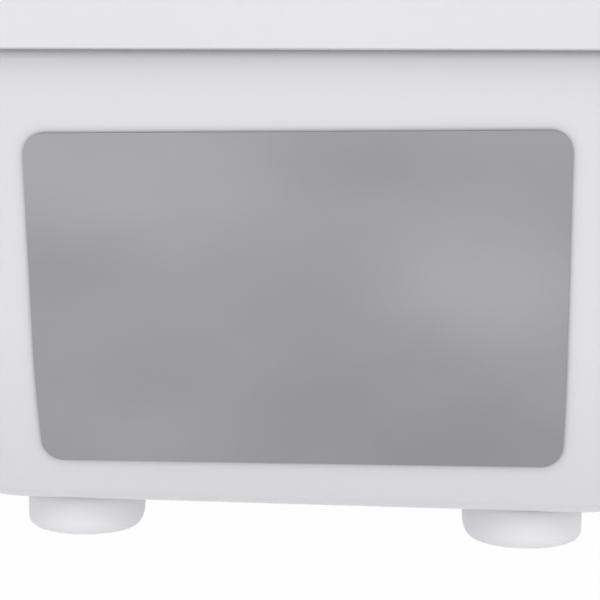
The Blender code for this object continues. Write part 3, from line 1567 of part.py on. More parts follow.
def make_fascia():
    frame = panel_frame()
    outline = rounded(panel_half_width, panel_half_length, panel_corner, (0.0, 0.0), fillet_steps)
    panel = in_frame(flat("control_fascia", outline, seat_gap, seat_gap + panel_thickness, LYING, grey_shell), frame)
    low, high = -cut_overrun, panel_thickness + cut_overrun
    cutter = rod("fascia_dial_hole", (0.0, 0.0, low), (0.0, 0.0, high), dial_shaft_radius + running_gap, hole_sides)
    cut(panel, in_frame(cutter, frame))
    wide, long = rocker_half_width + running_gap, rocker_half_length + running_gap
    cutter = box("fascia_rocker_hole", (rocker_x - wide, -long, low), (rocker_x + wide, long, high))
    cut(panel, in_frame(cutter, frame))
    for side in (-1, 1):
        y = side * lamp_pitch / 2
        cutter = rod(f"lamp_hole_{side + 1}", (lamp_x, y, low), (lamp_x, y, high), lamp_radius + seat_gap, small_sides)
        cut(panel, in_frame(cutter, frame))
    return panel


def make_lamp(name, side, material):
    top = seat_gap + panel_thickness + lamp_proud
    low = seat_gap * 2
    y = side * lamp_pitch / 2
    lamp = rod(name, (lamp_x, y, low), (lamp_x, y, top), lamp_radius, small_sides, material)
    return in_frame(lamp, panel_frame())


def make_dial():
    """The temperature dial: a knob with a stepped skirt, on a shaft through the panel."""
    face = seat_gap + panel_thickness + seat_gap
    top = face + dial_height
    edge = lamp_proud
    profile = [(0.0, top), (dial_cap_radius - edge, top), (dial_cap_radius, top - edge),
               (dial_cap_radius + edge / 2, face + dial_height / 3), (dial_radius, face + dial_height / 4),
               (dial_radius, face), (dial_shaft_radius, face), (dial_shaft_radius, -dial_shaft_depth),
               (0.0, -dial_shaft_depth)]
    dial = turned("temperature_dial", profile, (0.0, 0.0, 0.0), (0.0, 0.0, 1.0), round_sides, white_shell)
    dial.matrix_world = panel_frame()
    return dial


def make_rocker():
    """The power rocker, at rest with its far end pressed."""
    high = seat_gap + panel_thickness + rocker_proud
    middle = high - rocker_rise
    wide, long = rocker_half_width, rocker_half_length - running_gap * 2
    outline = [(-long + rocker_rise, -rocker_depth), (long - rocker_rise, -rocker_depth), (long, 0.0),
               (long, high - running_gap), (0.0, middle - running_gap), (-long, high - running_gap), (-long, 0.0)]
    rocker = flat("power_rocker", outline, rocker_x - wide, rocker_x + wide, SIDEWAYS, black_plastic)
    return in_frame(rocker, panel_frame() @ Matrix.Rotation(rocker_rest, 4, "X"))


def make_control_board():
    high = -dial_shaft_depth - seat_gap
    board = box("control_board", (-control_board_half_length, -control_board_half_width, high - board_part_thickness),
                (control_board_half_length, control_board_half_width, high), green_board)
    return in_frame(board, panel_frame())


# Assembly

base_tub = make_base_tub()
make_upper_housing()
make_feet(base_tub)
make_rating_plate()
make_base_frame()
make_power_board()
make_mains_inlet(base_tub)
make_hinge_shaft()
for bracket_side in (-1, 1):
    make_hinge_bracket(bracket_side)
make_board_bracket()
make_board_pan()
make_board_pad()
make_board_cover()

lock_carrier = carrier("lock_axis", (housing_half_width, lock_y, lock_z))
carry(lock_carrier, make_lock_lever())

arm_carrier = carrier("arm_axis", (0.0, hinge_y, hinge_z))
arm_pieces = [*make_arm_covers(), make_arm_frame(), make_pivot_pin(), make_tank_socket(), make_pump()]
arm_pieces += [make_water_hose(), make_handle_bar(), make_handle_grip(), make_fascia(), make_control_board()]
arm_pieces += [make_lamp("power_lamp", 1, lamp_red), make_lamp("ready_lamp", -1, lamp_green)]
for arm_side in (-1, 1):
    arm_pieces += [make_bush(arm_side), make_balance_spring(arm_side), make_handle_bracket(arm_side)]
carry(arm_carrier, *arm_pieces)

plate_carrier = carrier("plate_axis", (0.0, board_y, pivot_z), arm_carrier)
plate_pieces = [make_soleplate(), make_heating_element(), make_chamber_lid(), make_heat_shield()]
plate_pieces += [make_plate_cover(), make_plate_yoke(), *make_plate_fittings()]
carry(plate_carrier, *plate_pieces)

tank_carrier = carrier("tank_slide", (0.0, (bay_front + bay_rear) / 2, bay_floor), arm_carrier)
carry(tank_carrier, make_tank(), make_tank_valve())
cap_carrier = carrier("cap_axis", (0.0, cap_axis_y, cap_axis_z), tank_carrier)
carry(cap_carrier, make_tank_cap())

panel_spot = panel_frame()
dial_carrier = carrier("dial_axis", panel_spot.translation, arm_carrier)
carry(dial_carrier, make_dial())
rocker_carrier = carrier("rocker_axis", panel_spot @ Vector((rocker_x, 0.0, 0.0)), arm_carrier)
carry(rocker_carrier, make_rocker())
for button_side in (-1, 1):
    button_x = button_side * (handle_bracket_inner + handle_bracket_width / 2)
    button_carrier = carrier(f"button_slide_{button_side + 1}", (button_x, handle_boss_y, handle_boss_top), arm_carrier)
    carry(button_carrier, make_steam_button(button_side))
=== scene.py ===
from math import atan2, cos, hypot, pi, radians, sin, sqrt, tan

import bmesh
import bpy
from mathutils import Matrix, Vector, noise


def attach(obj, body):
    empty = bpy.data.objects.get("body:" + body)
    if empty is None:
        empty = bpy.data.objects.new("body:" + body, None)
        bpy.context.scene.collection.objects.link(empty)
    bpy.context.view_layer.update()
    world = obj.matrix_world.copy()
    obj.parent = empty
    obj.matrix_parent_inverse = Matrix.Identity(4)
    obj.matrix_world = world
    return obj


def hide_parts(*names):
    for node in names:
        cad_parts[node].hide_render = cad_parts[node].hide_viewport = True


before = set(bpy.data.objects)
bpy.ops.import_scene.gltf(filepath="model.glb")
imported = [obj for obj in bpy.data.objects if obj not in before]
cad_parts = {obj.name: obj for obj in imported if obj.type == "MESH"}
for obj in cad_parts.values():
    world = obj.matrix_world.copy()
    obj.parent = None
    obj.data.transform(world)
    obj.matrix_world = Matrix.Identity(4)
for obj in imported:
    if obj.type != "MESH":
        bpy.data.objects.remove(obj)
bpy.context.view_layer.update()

# Sizes repeated from the CAD source, in metres
seat_gap = 0.0003
running_gap = 0.0005
overrun = 0.004

tub_half_width, tub_rear, tub_front = 0.101, 0.206, -0.125
tub_corner, tub_wall, tub_floor = 0.022, 0.0028, 0.012
tub_edge_radius, tub_curve_height = 0.006, 0.060
tub_lean, tub_foot_lean, side_lean_share = radians(8.3), radians(26.0), 0.15
lip_rear_height, lip_front_height = 0.133, 0.087
lip_curve_front, lip_curve_rear = 0.135, 0.174
tub_tongue, flare_share = 0.0045, 0.43

housing_wall, housing_gap = 0.0028, 0.0005
deck_height, deck_edge_radius = 0.100, 0.008
tower_front, tower_fillet, tower_edge_radius, tower_face_radius = 0.120, 0.010, 0.014, 0.020
tower_neck_height, tower_neck_step, saddle_top = 0.140, 0.003, 0.156
hinge_y, hinge_z = 0.168, 0.172
barrel_radius, cheek_radius, barrel_half_width, cheek_gap = 0.038, 0.040, 0.070, 0.003
shaft_radius = 0.006

foot_radius, foot_spacing, foot_rear_y = 0.017, 0.0634, 0.158
foot_front_y, foot_front_spacing = -0.074, 0.084
foot_outer_round, foot_outer_rise, foot_inner_round, foot_inner_rise = 0.010, 0.0045, 0.0062, 0.0088
foot_round_power = 3
foot_screw_radius, foot_screw_head_radius, foot_screw_head = 0.0018, 0.0034, 0.0024

label_width, label_bottom, label_top = 0.140, 0.0252, 0.1129
label_corner, label_thickness = 0.0055, 0.0005
label_shift, label_turn = -0.0006, radians(-0.73)

inlet_y, inlet_z = 0.070, 0.062
inlet_flange_width, inlet_flange_height, inlet_flange_thickness = 0.026, 0.036, 0.002
inlet_body_width, inlet_body_height, inlet_depth, inlet_wall = 0.020, 0.029, 0.0135, 0.0016
inlet_pin_thickness, inlet_pin_height, inlet_pin_pitch = 0.0018, 0.004, 0.007
inlet_pin_length, inlet_pin_step = 0.008, 0.002

lock_y, lock_z, lock_hub_radius, lock_thickness = 0.163, 0.152, 0.008, 0.006
lock_length, lock_tip_radius, lock_pin_radius = 0.026, 0.005, 0.003
lock_cam_radius, lock_cam_thickness = 0.007, 0.003

board_y, board_half_length, board_half_width, board_corner = -0.020, 0.306, 0.128, 0.070
pan_bottom, pan_edge_radius, pan_wall = 0.112, 0.009, 0.0022
pad_gap, pad_top, pad_round, pad_crown = 0.0006, 0.1360, 0.010, 0.0012
cloth_thickness, cloth_hem_inset, cloth_fold_depth = 0.0008, 0.020, 0.0014

plate_half_length, plate_half_width, plate_corner = 0.300, 0.122, 0.062
sole_thickness, sole_edge = 0.009, 0.0012
steam_hole_radius, steam_hole_depth = 0.0022, 0.0025
steam_hole_columns, steam_hole_pitch, steam_hole_row_pitch = 8, 0.062, 0.060
plate_cover_height, plate_cover_wall = 0.0375, 0.0025
yoke_lug_inner, yoke_lug_thickness, yoke_lug_radius = 0.0195, 0.0025, 0.006

arm_bottom, arm_top, arm_wall, arm_edge_radius = 0.188, 0.228, 0.0025, 0.008
arm_nose, arm_nose_radius, arm_front_half_width = -0.158, 0.010, 0.104
arm_panel_rear, arm_panel_front, arm_panel_drop = -0.054, -0.134, 0.0155
arm_split_height, arm_split_gap, arm_flat_rear = 0.198, 0.0003, 0.060
arm_throat_y, arm_throat_drop = 0.112, 0.004
arm_barrel_start, arm_barrel_end = radians(185.0), radians(440.0)

bay_front, bay_rear, bay_half_width, bay_corner, bay_floor = -0.042, 0.058, 0.062, 0.010, 0.2040
tank_gap, tank_wall, tank_proud, tank_edge = 0.0006, 0.0018, 0.0005, 0.002
filler_half_width, filler_front, filler_rear = 0.012, -0.034, -0.012
cap_margin, cap_thickness = 0.003, 0.0022
tank_valve_x, tank_valve_y, tank_valve_radius = 0.044, 0.030, 0.0045

handle_y, handle_z, handle_bar_radius, handle_end_radius = -0.1968, 0.198, 0.0065, 0.0132
handle_bracket_inner, handle_bracket_width = 0.074, 0.018
handle_tongue_half_height, handle_tongue_z = 0.0058, 0.1985
handle_boss_y, handle_boss_half_width, handle_boss_top = -0.176, 0.0085, 0.2085
rail_front = -0.128
grip_radius, grip_swell = 0.0122, 0.0008
steam_button_radius, steam_button_gap, steam_button_height = 0.0055, 0.0004, 0.006
steam_button_proud, steam_button_pocket = 0.0028, 0.0058

panel_half_width, panel_half_length, panel_corner, panel_thickness = 0.062, 0.036, 0.012, 0.0022
dial_radius, dial_height, dial_cap_radius = 0.019, 0.013, 0.0155
dial_shaft_radius, dial_shaft_depth = 0.003, 0.0078
lamp_x, lamp_pitch, lamp_radius, lamp_proud = -0.040, 0.020, 0.0028, 0.0012
rocker_x, rocker_half_width, rocker_half_length = 0.040, 0.006, 0.010
rocker_depth, rocker_proud, rocker_rise, rocker_rest = 0.005, 0.003, 0.0015, radians(-7.0)

board_surface = pad_top + seat_gap + cloth_thickness
sole_bottom = board_surface + seat_gap
sole_top = sole_bottom + sole_thickness
plate_cover_bottom = sole_top + seat_gap
tank_top = arm_top + tank_proud
tongue_lean = tub_tongue * tan(tub_lean)
housing_half_width = tub_half_width + tongue_lean * side_lean_share + housing_gap + housing_wall
housing_rear = tub_rear + tongue_lean + housing_gap + housing_wall
housing_front = tub_front - tongue_lean - housing_gap - housing_wall
housing_corner = tub_corner + housing_gap + housing_wall


# Materials


def add_node(tree, kind, settings=(), *values, **sockets):
    """A node with its settings, and with values or sources for its sockets by number or by name."""
    made = tree.nodes.new(kind)
    for key, value in dict(settings).items():
        setattr(made, key, value)
    for key, value in [*enumerate(values), *sockets.items()]:
        socket = made.inputs[key if isinstance(key, int) else key.replace("_", " ")]
        if isinstance(value, bpy.types.NodeSocket):
            tree.links.new(value, socket)
        elif socket.type == "RGBA":
            socket.default_value = (*value, 1.0)
        else:
            socket.default_value = value
    return made


class Paint:
    """A Principled material with small helpers for its nodes, in object coordinates of one metre."""

    def __init__(self, name, colour, roughness, metallic=0.0, **sockets):
        self.name, self.colour, self.roughness, self.normal = name, colour, roughness, None
        self.material = bpy.data.materials.new(name)
        self.material.use_nodes = True
        self.tree = self.material.node_tree
        self.shader = self.tree.nodes["Principled BSDF"]
        sockets.update(Base_Color=(*colour, 1.0), Roughness=roughness, Metallic=metallic)
        for socket, value in sockets.items():
            self.shader.inputs[socket.replace("_", " ")].default_value = value
        self.place = self.node("ShaderNodeTexCoord").outputs["Object"]

    def node(self, kind, settings=(), *values, **sockets):
        return add_node(self.tree, kind, settings, *values, **sockets)

    def feed(self, socket, source):
        self.tree.links.new(source, self.shader.inputs[socket])
        return self

    def coloured(self, source):
        return self.feed("Base Color", source)

    def rough(self, source):
        return self.feed("Roughness", source)

    def stretched(self, x, y, z):
        return self.node("ShaderNodeMapping", Vector=self.place, Scale=(x, y, z)).outputs["Vector"]

    def noise(self, size, detail=2.0, rough=0.5, vector=None):
        return self.node("ShaderNodeTexNoise", Vector=vector or self.place, Scale=1.0 / size, Detail=detail,
                         Roughness=rough).outputs["Fac"]

    def ranged(self, value, low, high, start=0.3, end=0.7):
        return self.node("ShaderNodeMapRange", Value=value, From_Min=start, From_Max=end, To_Min=low,
                         To_Max=high).outputs["Result"]

    def maths(self, operation, one, two=0.0):
        return self.node("ShaderNodeMath", {"operation": operation}, one, two).outputs["Value"]

    def mix(self, factor, one, two, blend="MIX"):
        """A colour between two, each a colour or a socket."""
        settings = {"data_type": "RGBA", "blend_type": blend}
        return self.node("ShaderNodeMix", settings, Factor=factor, A=one, B=two).outputs["Result"]

    def split(self, vector):
        return self.node("ShaderNodeSeparateXYZ", (), vector).outputs

    def patch(self, x, z, reach_x, reach_z, gain):
        """Painted reflection: a soft round spot, seen along Y, with the gain at its centre and nothing beyond its
        reach.
        """
        near = self.node("ShaderNodeMapping", Vector=self.place, Scale=(1 / reach_x, 0.0, 1 / reach_z),
                         Location=(-x / reach_x, 0.0, -z / reach_z)).outputs["Vector"]
        length = self.node("ShaderNodeVectorMath", {"operation": "LENGTH"}, near).outputs["Value"]
        return self.node("ShaderNodeMapRange", {"interpolation_type": "SMOOTHSTEP"}, Value=length, To_Min=gain,
                         To_Max=0.0).outputs["Result"]

    def creases(self, reach, dark):
        """Painted shade: darkens the colour by ambient occlusion in the narrow places where pieces meet, over the
        given reach.
        """
        painted_shade = self.node("ShaderNodeAmbientOcclusion", {"samples": 6}, Distance=reach).outputs["AO"]
        colour = self.shader.inputs["Base Color"].links[0].from_socket
        return self.coloured(self.mix(1.0, colour, self.ranged(painted_shade, dark, 1.0, 0.45, 0.96), "MULTIPLY"))

    def shades(self, size, share, detail=3.0):
        """Uneven colour: the material's own, a share darker to a share lighter."""
        dark = tuple(c * (1 - share) for c in self.colour)
        light = tuple(min(1.0, c * (1 + share)) for c in self.colour)
        return self.coloured(self.mix(self.ranged(self.noise(size, detail), 0.0, 1.0), dark, light))

    def rough_shades(self, size, share, detail=3.0):
        low, high = self.roughness * (1 - share), min(1.0, self.roughness * (1 + share))
        return self.rough(self.ranged(self.noise(size, detail), low, high))

    def soft_edges(self, radius):
        self.normal = self.node("ShaderNodeBevel", {"samples": 4}, Radius=radius).outputs["Normal"]
        return self.feed("Normal", self.normal)

    def bump(self, height, depth, strength=1.0):
        before = {"Normal": self.normal} if self.normal else {}
        self.normal = self.node("ShaderNodeBump", Height=height, Distance=depth, Strength=strength,
                                **before).outputs["Normal"]
        return self.feed("Normal", self.normal)


def moulded(name, colour, roughness, grain, depth, radius=0.0004, **sockets):
    """Moulded plastic: rounded edges, a fine eroded grain, faint mottling and handling marks."""
    made = Paint(name, colour, roughness, **sockets)
    made.soft_edges(radius)
    made.bump(made.noise(grain, 3.0, 0.6), depth)
    made.shades(0.09, 0.012)
    marks = made.noise(0.035, 5.0, 0.65)
    return made.rough(made.ranged(marks, roughness * 0.88, roughness * 1.14, 0.35, 0.7))


def metal(name, colour, roughness, along=(1.0, 14.0, 14.0)):
    """Drawn or ground metal: fine lines along one axis, clouded tone and uneven gloss."""
    made = Paint(name, colour, roughness, 1.0)
    made.soft_edges(0.0002)
    made.bump(made.noise(0.004, 4.0, 0.7, made.stretched(*along)), 0.00001)
    made.shades(0.03, 0.05)
    return made.rough(made.ranged(made.noise(0.012, 4.0, 0.6), roughness * 0.8, roughness * 1.25))


def grained(name, colour, roughness, shades, grain, depth, **sockets):
    """Uneven colour and relief, each from a noise."""
    made = Paint(name, colour, roughness, **sockets)
    return made.shades(*shades).bump(made.noise(*grain), depth)


def woven(name, colour, roughness, pitch):
    """Plain weave on every side, read along whichever two axes lie in the surface."""
    made = Paint(name, colour, roughness, Sheen_Weight=0.25, Sheen_Roughness=0.45)
    place_at, facing = made.split(made.place), made.split(made.node("ShaderNodeNewGeometry").outputs["Normal"])
    waves = [made.maths("SINE", made.maths("MULTIPLY", place_at[i], 2 * pi / pitch)) for i in range(3)]
    height = None
    for i in range(3):
        weave = made.maths("MULTIPLY", waves[(i + 1) % 3], waves[(i + 2) % 3])
        share = made.maths("POWER", made.maths("ABSOLUTE", facing[i]), 4.0)
        part = made.maths("MULTIPLY", weave, share)
        height = made.maths("ADD", height, part) if height else part
    level = made.ranged(height, 0.0, 1.0, -1.0, 1.0)
    slub = made.noise(0.0025, 4.0, 0.7, made.stretched(0.25, 1.0, 1.0))
    tone = made.maths("MULTIPLY", made.ranged(level, 0.80, 1.0, 0.0, 1.0), made.ranged(slub, 0.90, 1.05))
    dark = tuple(c * 0.62 for c in colour)
    light = tuple(min(1.0, c * 1.10) for c in colour)
    made.coloured(made.mix(made.ranged(tone, 0.0, 1.0, 0.72, 1.04), dark, light))
    made.rough_shades(0.02, 0.06)
    made.bump(level, 0.00012)
    return made.bump(made.noise(0.010, 3.0, 0.5), 0.0003, 0.5)


# Painted shade on the white shell: its colour darkens by ambient occlusion in seams, as in the gap under the
# housing's lip.
white_shell = moulded("white_shell", (0.775, 0.773, 0.777), 0.36, 0.0007, 0.000012).creases(0.0032, 0.40)
foot_white = moulded("foot_white", (0.868, 0.864, 0.870), 0.50, 0.0005, 0.00002, Subsurface_Weight=0.55,
                     Subsurface_Radius=(1.0, 1.0, 1.0), Subsurface_Scale=0.005)
grey_shell = moulded("grey_shell", (0.30, 0.31, 0.33), 0.45, 0.0006, 0.00002)
black_plastic = moulded("black_plastic", (0.030, 0.030, 0.032), 0.48, 0.0006, 0.00002)
steel = metal("steel", (0.52, 0.53, 0.54), 0.34)
brass = metal("brass", (0.72, 0.55, 0.28), 0.30, (14.0, 14.0, 1.0))
cloth = woven("cloth", (0.55, 0.58, 0.62), 0.80, 0.0012)

aluminium = Paint("aluminium", (0.66, 0.67, 0.68), 0.25, 1.0)
grinding = aluminium.noise(0.03, 4.0, 0.7, aluminium.stretched(1.0, 60.0, 60.0))
# Painted shade on the aluminium: its colour darkens by ambient occlusion in the steam holes and seams.
aluminium.soft_edges(0.0002).bump(grinding, 0.000002).shades(0.12, 0.03).creases(0.003, 0.10)
aluminium.rough(aluminium.ranged(grinding, 0.21, 0.30))

# Painted reflection: the film's tone, from dark (0) to light (1), is a sum of ramps, clouds and round spots. The
# ramps and spots paint reflections of lighter and darker surroundings, and the clouds are partly the film's own
# cloudy finish and partly painted reflection.
film = silver_film = Paint("silver_film", (0.36, 0.355, 0.38), 0.36, 1.0)
film_dark, film_light = (0.285, 0.281, 0.303), (0.425, 0.418, 0.440)
film_clouds_and_reflections = ((0.075, 1.0, 0.4, (0.8, 1.0, 1.3), 0.14), (0.022, 3.0, 0.55, (0.7, 1.0, 1.0), 0.07))
film_reflection_spots = ((0.052, 0.106, 0.060, 0.034, 0.42), (0.062, 0.080, 0.034, 0.016, -0.15),
                (-0.052, 0.074, 0.044, 0.024, 0.52), (-0.020, 0.104, 0.036, 0.014, -0.16),
                (0.050, 0.034, 0.050, 0.020, 0.14), (-0.050, 0.032, 0.040, 0.020, -0.26))
across_film, _, up_film = film.split(film.place)
# Painted reflection: the film is lighter towards +X.
reflection_and_cloud_parts = [film.ranged(across_film, -0.06, 0.10, -0.07, 0.07)]
reflection_and_cloud_parts += [film.ranged(film.noise(size, detail, rough, film.stretched(*stretch)), -gain, gain)
          for size, detail, rough, stretch, gain in film_clouds_and_reflections]
reflection_and_cloud_parts += [film.patch(*patch) for patch in film_reflection_spots]
# Painted reflection: the film is lighter towards its top.
tone = film.ranged(up_film, 0.38, 0.73, 0.025, 0.113)
for part in reflection_and_cloud_parts:
    tone = film.maths("ADD", tone, part)
film.coloured(film.mix(film.ranged(tone, 0.0, 1.0, 0.0, 1.0), film_dark, film_light))
film.rough(film.ranged(film.noise(0.05, 2.0), 0.32, 0.42)).bump(film.noise(0.0011, 2.0, 0.5), 0.000006)

soft_grip = grained("soft_grip", (0.060, 0.060, 0.068), 0.66, (0.02, 0.10), (0.0009, 3.0, 0.7), 0.00006)
soft_grip.rough_shades(0.014, 0.12)
foam = grained("foam", (0.80, 0.76, 0.62), 0.95, (0.004, 0.06, 5.0), (0.0012, 4.0, 0.7), 0.00025)
print_white = grained("print_white", (0.74, 0.75, 0.76), 0.50, (0.001, 0.05), (0.0003, 1.0), 0.000005)
hose_clear = grained("hose_clear", (0.70, 0.70, 0.68), 0.40, (0.01, 0.05), (0.002, 2.0), 0.00002,
                     Transmission_Weight=0.35, IOR=1.41)
clear_blue = grained("clear_blue", (0.36, 0.56, 0.76), 0.09, (0.05, 0.04), (0.006, 2.0), 0.00001,
                     Transmission_Weight=0.86, IOR=1.49)
clear_blue.rough(clear_blue.ranged(clear_blue.noise(0.02, 4.0), 0.06, 0.14))
lamp_red, lamp_green = (
    grained(name, colour, 0.16, (0.002, 0.10), (0.0008, 1.0), 0.00003, Transmission_Weight=0.25)
    for name, colour in (("lamp_red", (0.65, 0.05, 0.03)), ("lamp_green", (0.05, 0.50, 0.12))))

green_board = Paint("green_board", (0.05, 0.22, 0.10), 0.40)
tracks = green_board.noise(0.006, 0.0, 0.5, green_board.stretched(1.0, 2.5, 1.0))
tracks = green_board.ranged(tracks, 0.0, 1.0, 0.47, 0.53)
green_board.coloured(green_board.mix(tracks, (0.03, 0.15, 0.06), (0.06, 0.26, 0.11))).bump(tracks, 0.00005)


# Solids

# Sides of the round forms, and the widths of the rounded edges
barrel_sides, pocket_sides, lens_sides, bore_sides = 96, 64, 48, 40
hole_sides, steam_hole_sides, groove_sides = 32, 24, 16
inlet_edge, pin_edge, lock_edge, bracket_edge = 0.0005, 0.0004, 0.0014, 0.0012
panel_edge, pointer_edge, rocker_edge, cap_edge = 0.0006, 0.0002, 0.0005, 0.0006


def mesh_of(shape, name):
    bmesh.ops.recalc_face_normals(shape, faces=shape.faces)
    mesh = bpy.data.meshes.new(name)
    shape.to_mesh(mesh)
    shape.free()
    return mesh


def place(name, mesh):
    made = bpy.data.objects.new(name, mesh)
    bpy.context.scene.collection.objects.link(made)
    return made


def remove(made):
    bpy.data.objects.remove(made, do_unlink=True)


def final_mesh(made):
    bpy.context.view_layer.update()
    return bpy.data.meshes.new_from_object(made.evaluated_get(bpy.context.evaluated_depsgraph_get()))


def settle(made):
    """Applies a piece's modifiers to its mesh."""
    old, made.data = made.data, final_mesh(made)
    made.modifiers.clear()
    bpy.data.meshes.remove(old)
    return made


def dressed(made, paint, body, *nodes, sharp=35.0, slot=True):
    """Gives a finished piece its material, its body and the CAD nodes that it stands for."""
    made.data.materials.clear()
    made.data.materials.append(paint.material)
    made.data.shade_smooth()
    made.data.set_sharp_from_angle(angle=radians(sharp))
    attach(made, body)
    if nodes:
        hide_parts(*nodes)
    return made


def combine(made, *others, operation="DIFFERENCE"):
    """Cuts the others from the piece, or joins them to it, and removes them."""
    for other in others:
        change = made.modifiers.new("shape", "BOOLEAN")
        change.solver = "EXACT"
        change.operation = operation
        change.object = other
        settle(made)
        remove(other)
    return made


def cut(made, *others):
    return combine(made, *others)


def join(made, *others):
    return combine(made, *others, operation="UNION")


def together(made, *others):
    """Adds the others' faces to the piece as they are."""
    shape = bmesh.new()
    for other in (made, *others):
        shape.from_mesh(other.data)
    shape.to_mesh(made.data)
    shape.free()
    for other in others:
        remove(other)
    return made


def eased(made, width, segments=3, angle=40.0):
    """Rounds the piece's edges."""
    bevel = made.modifiers.new("edges", "BEVEL")
    bevel.width = width
    bevel.segments = segments
    bevel.limit_method = "ANGLE"
    bevel.angle_limit = radians(angle)
    bevel.use_clamp_overlap = True
    return settle(made)


def box(name, low, high):
    low, high = Vector(low), Vector(high)
    shape = bmesh.new()
    bmesh.ops.create_cube(shape, size=1.0)
    bmesh.ops.scale(shape, vec=high - low, verts=shape.verts)
    bmesh.ops.translate(shape, vec=(low + high) / 2, verts=shape.verts)
    return place(name, mesh_of(shape, name))


def turn_to(direction):
    """The turn that brings Z to a direction."""
    return direction.to_track_quat("Z", "Y").to_matrix().to_4x4()


def rod(name, start, end, radius, sides):
    start, end = Vector(start), Vector(end)
    shape = bmesh.new()
    matrix = shift(*((start + end) / 2)) @ turn_to(end - start)
    bmesh.ops.create_cone(shape, cap_ends=True, segments=sides, radius1=radius, radius2=radius,
                          depth=(end - start).length, matrix=matrix)
    return place(name, mesh_of(shape, name))


def upright(name, x, y, low, high, radius, sides=hole_sides):
    return rod(name, (x, y, low), (x, y, high), radius, sides)


def crosswise(name, start, end, y, z, radius, sides=hole_sides):
    return rod(name, (start, y, z), (end, y, z), radius, sides)


def moved(made, matrix):
    made.data.transform(matrix)
    made.data.update()
    return made


def shift(x, y, z):
    return Matrix.Translation((x, y, z))


LYING = Matrix.Identity(4)
SIDEWAYS = Matrix(((0, 1, 0), (0, 0, 1), (1, 0, 0))).transposed().to_4x4()


def flat(name, points, low, high, axes=LYING):
    """A flat outline with straight walls, from low to high along its third axis."""
    shape = bmesh.new()
    foot = [shape.verts.new((u, v, low)) for u, v in points]
    head = [shape.verts.new((u, v, high)) for u, v in points]
    shape.faces.new(foot)
    shape.faces.new(head)
    for i in range(len(points)):
        shape.faces.new((foot[i - 1], foot[i], head[i], head[i - 1]))
    return moved(place(name, mesh_of(shape, name)), axes)


def turned(name, profile, matrix=LYING, sides=barrel_sides, teeth=0, tooth_depth=0.0, tooth_range=(0.0, 0.0)):
    """A closed profile of (radius, height) turned about Z; teeth press grips into radii within the range."""
    shape = bmesh.new()
    rows = []
    for r, h in profile:
        if r <= 0:
            rows.append([shape.verts.new((0.0, 0.0, h))])
            continue
        row = []
        for i in range(sides):
            a = 2 * pi * i / sides
            radius = r
            if teeth and tooth_range[0] <= h <= tooth_range[1]:
                radius -= tooth_depth * (0.5 + 0.5 * cos(teeth * a)) ** 2
            row.append(shape.verts.new((radius * cos(a), radius * sin(a), h)))
        rows.append(row)
    pairs = list(zip(rows, rows[1:]))
    if profile[0][0] > 0:
        pairs.append((rows[-1], rows[0]))
    for one, two in pairs:
        for i in range(sides):
            corners = [one[i % len(one)], one[(i + 1) % len(one)], two[(i + 1) % len(two)], two[i % len(two)]]
            kept = []
            for corner in corners:
                if corner not in kept:
                    kept.append(corner)
            if len(kept) > 2:
                shape.faces.new(kept)
    return moved(place(name, mesh_of(shape, name)), matrix)


def loft(name, rings, close_first=True, close_last=True, cap=None):
    shape = bmesh.new()
    rows = [[shape.verts.new(point) for point in ring] for ring in rings]
    for one, two in zip(rows, rows[1:]):
        for i, spot in enumerate(one):
            shape.faces.new((one[i - 1], spot, two[i], two[i - 1]))
    for wanted, row in ((close_first, rows[0]), (close_last, rows[-1])):
        if wanted and cap:
            cap(shape, row)
        elif wanted:
            shape.faces.new(row)
    return place(name, mesh_of(shape, name))


def slice_cap(shape, ring):
    """Closes a side with slices between its upper and lower outline."""
    count = len(ring)
    rear = max(range(count), key=lambda i: ring[i].co.y)
    front = min(range(count), key=lambda i: ring[i].co.y)
    one = [ring[(rear + i) % count] for i in range((front - rear) % count + 1)]
    two = [ring[(rear - i) % count] for i in range((rear - front) % count + 1)]
    i, j = 0, 1
    while i + 1 < len(one) or j + 1 < len(two):
        second = i + 1 == len(one) or (j + 1 < len(two) and two[j + 1].co.y > one[i + 1].co.y)
        corners = {one[i], two[j], two[j + 1] if second else one[i + 1]}
        i, j = (i, j + 1) if second else (i + 1, j)
        if len(corners) == 3:
            shape.faces.new(corners)


def thicken(made, wall):
    """Gives a surface its wall, inwards."""
    skin = made.modifiers.new("wall", "SOLIDIFY")
    skin.thickness = wall
    skin.offset = -1.0
    skin.use_even_offset = True
    return settle(made)


def arc(centre, radius, start, end, steps):
    turns = [start + (end - start) * i / steps for i in range(steps + 1)]
    return [(centre[0] + radius * cos(a), centre[1] + radius * sin(a)) for a in turns]


def rounded(half_length, half_width, corner, middle=(0.0, 0.0), steps=20):
    points = []
    for i, (sx, sy) in enumerate(((1, 1), (-1, 1), (-1, -1), (1, -1))):
        centre = (middle[0] + sx * (half_length - corner), middle[1] + sy * (half_width - corner))
        points += arc(centre, corner, i * pi / 2, (i + 1) * pi / 2, steps)
    return points


def quarter(steps):
    """The angles of a quarter turn."""
    return [pi / 2 * i / steps for i in range(steps + 1)]


def rim(radius, top, edge, steps):
    """The rounded edge of a turned piece, as (radius, height) from its end face to its side."""
    return [(radius - edge + edge * sin(a), top - edge + edge * cos(a)) for a in quarter(steps)]


def round_foot(radius, steps):
    """A rounded lower edge as (inset, rise), from its foot to its side; the other way round it is a shoulder."""
    return [(radius * (1 - sin(a)), radius * (1 - cos(a))) for a in quarter(steps)]


def stack(outline, levels):
    """Rings of one outline, for a list of (inset, height)."""
    return [[(x, y, z) for x, y in outline(inset)] for inset, z in levels]


def swell(x, radius):
    """How far a rounded edge is drawn in at a depth from its end."""
    return radius - sqrt(max(0.0, radius**2 - (radius - min(x, radius)) ** 2))


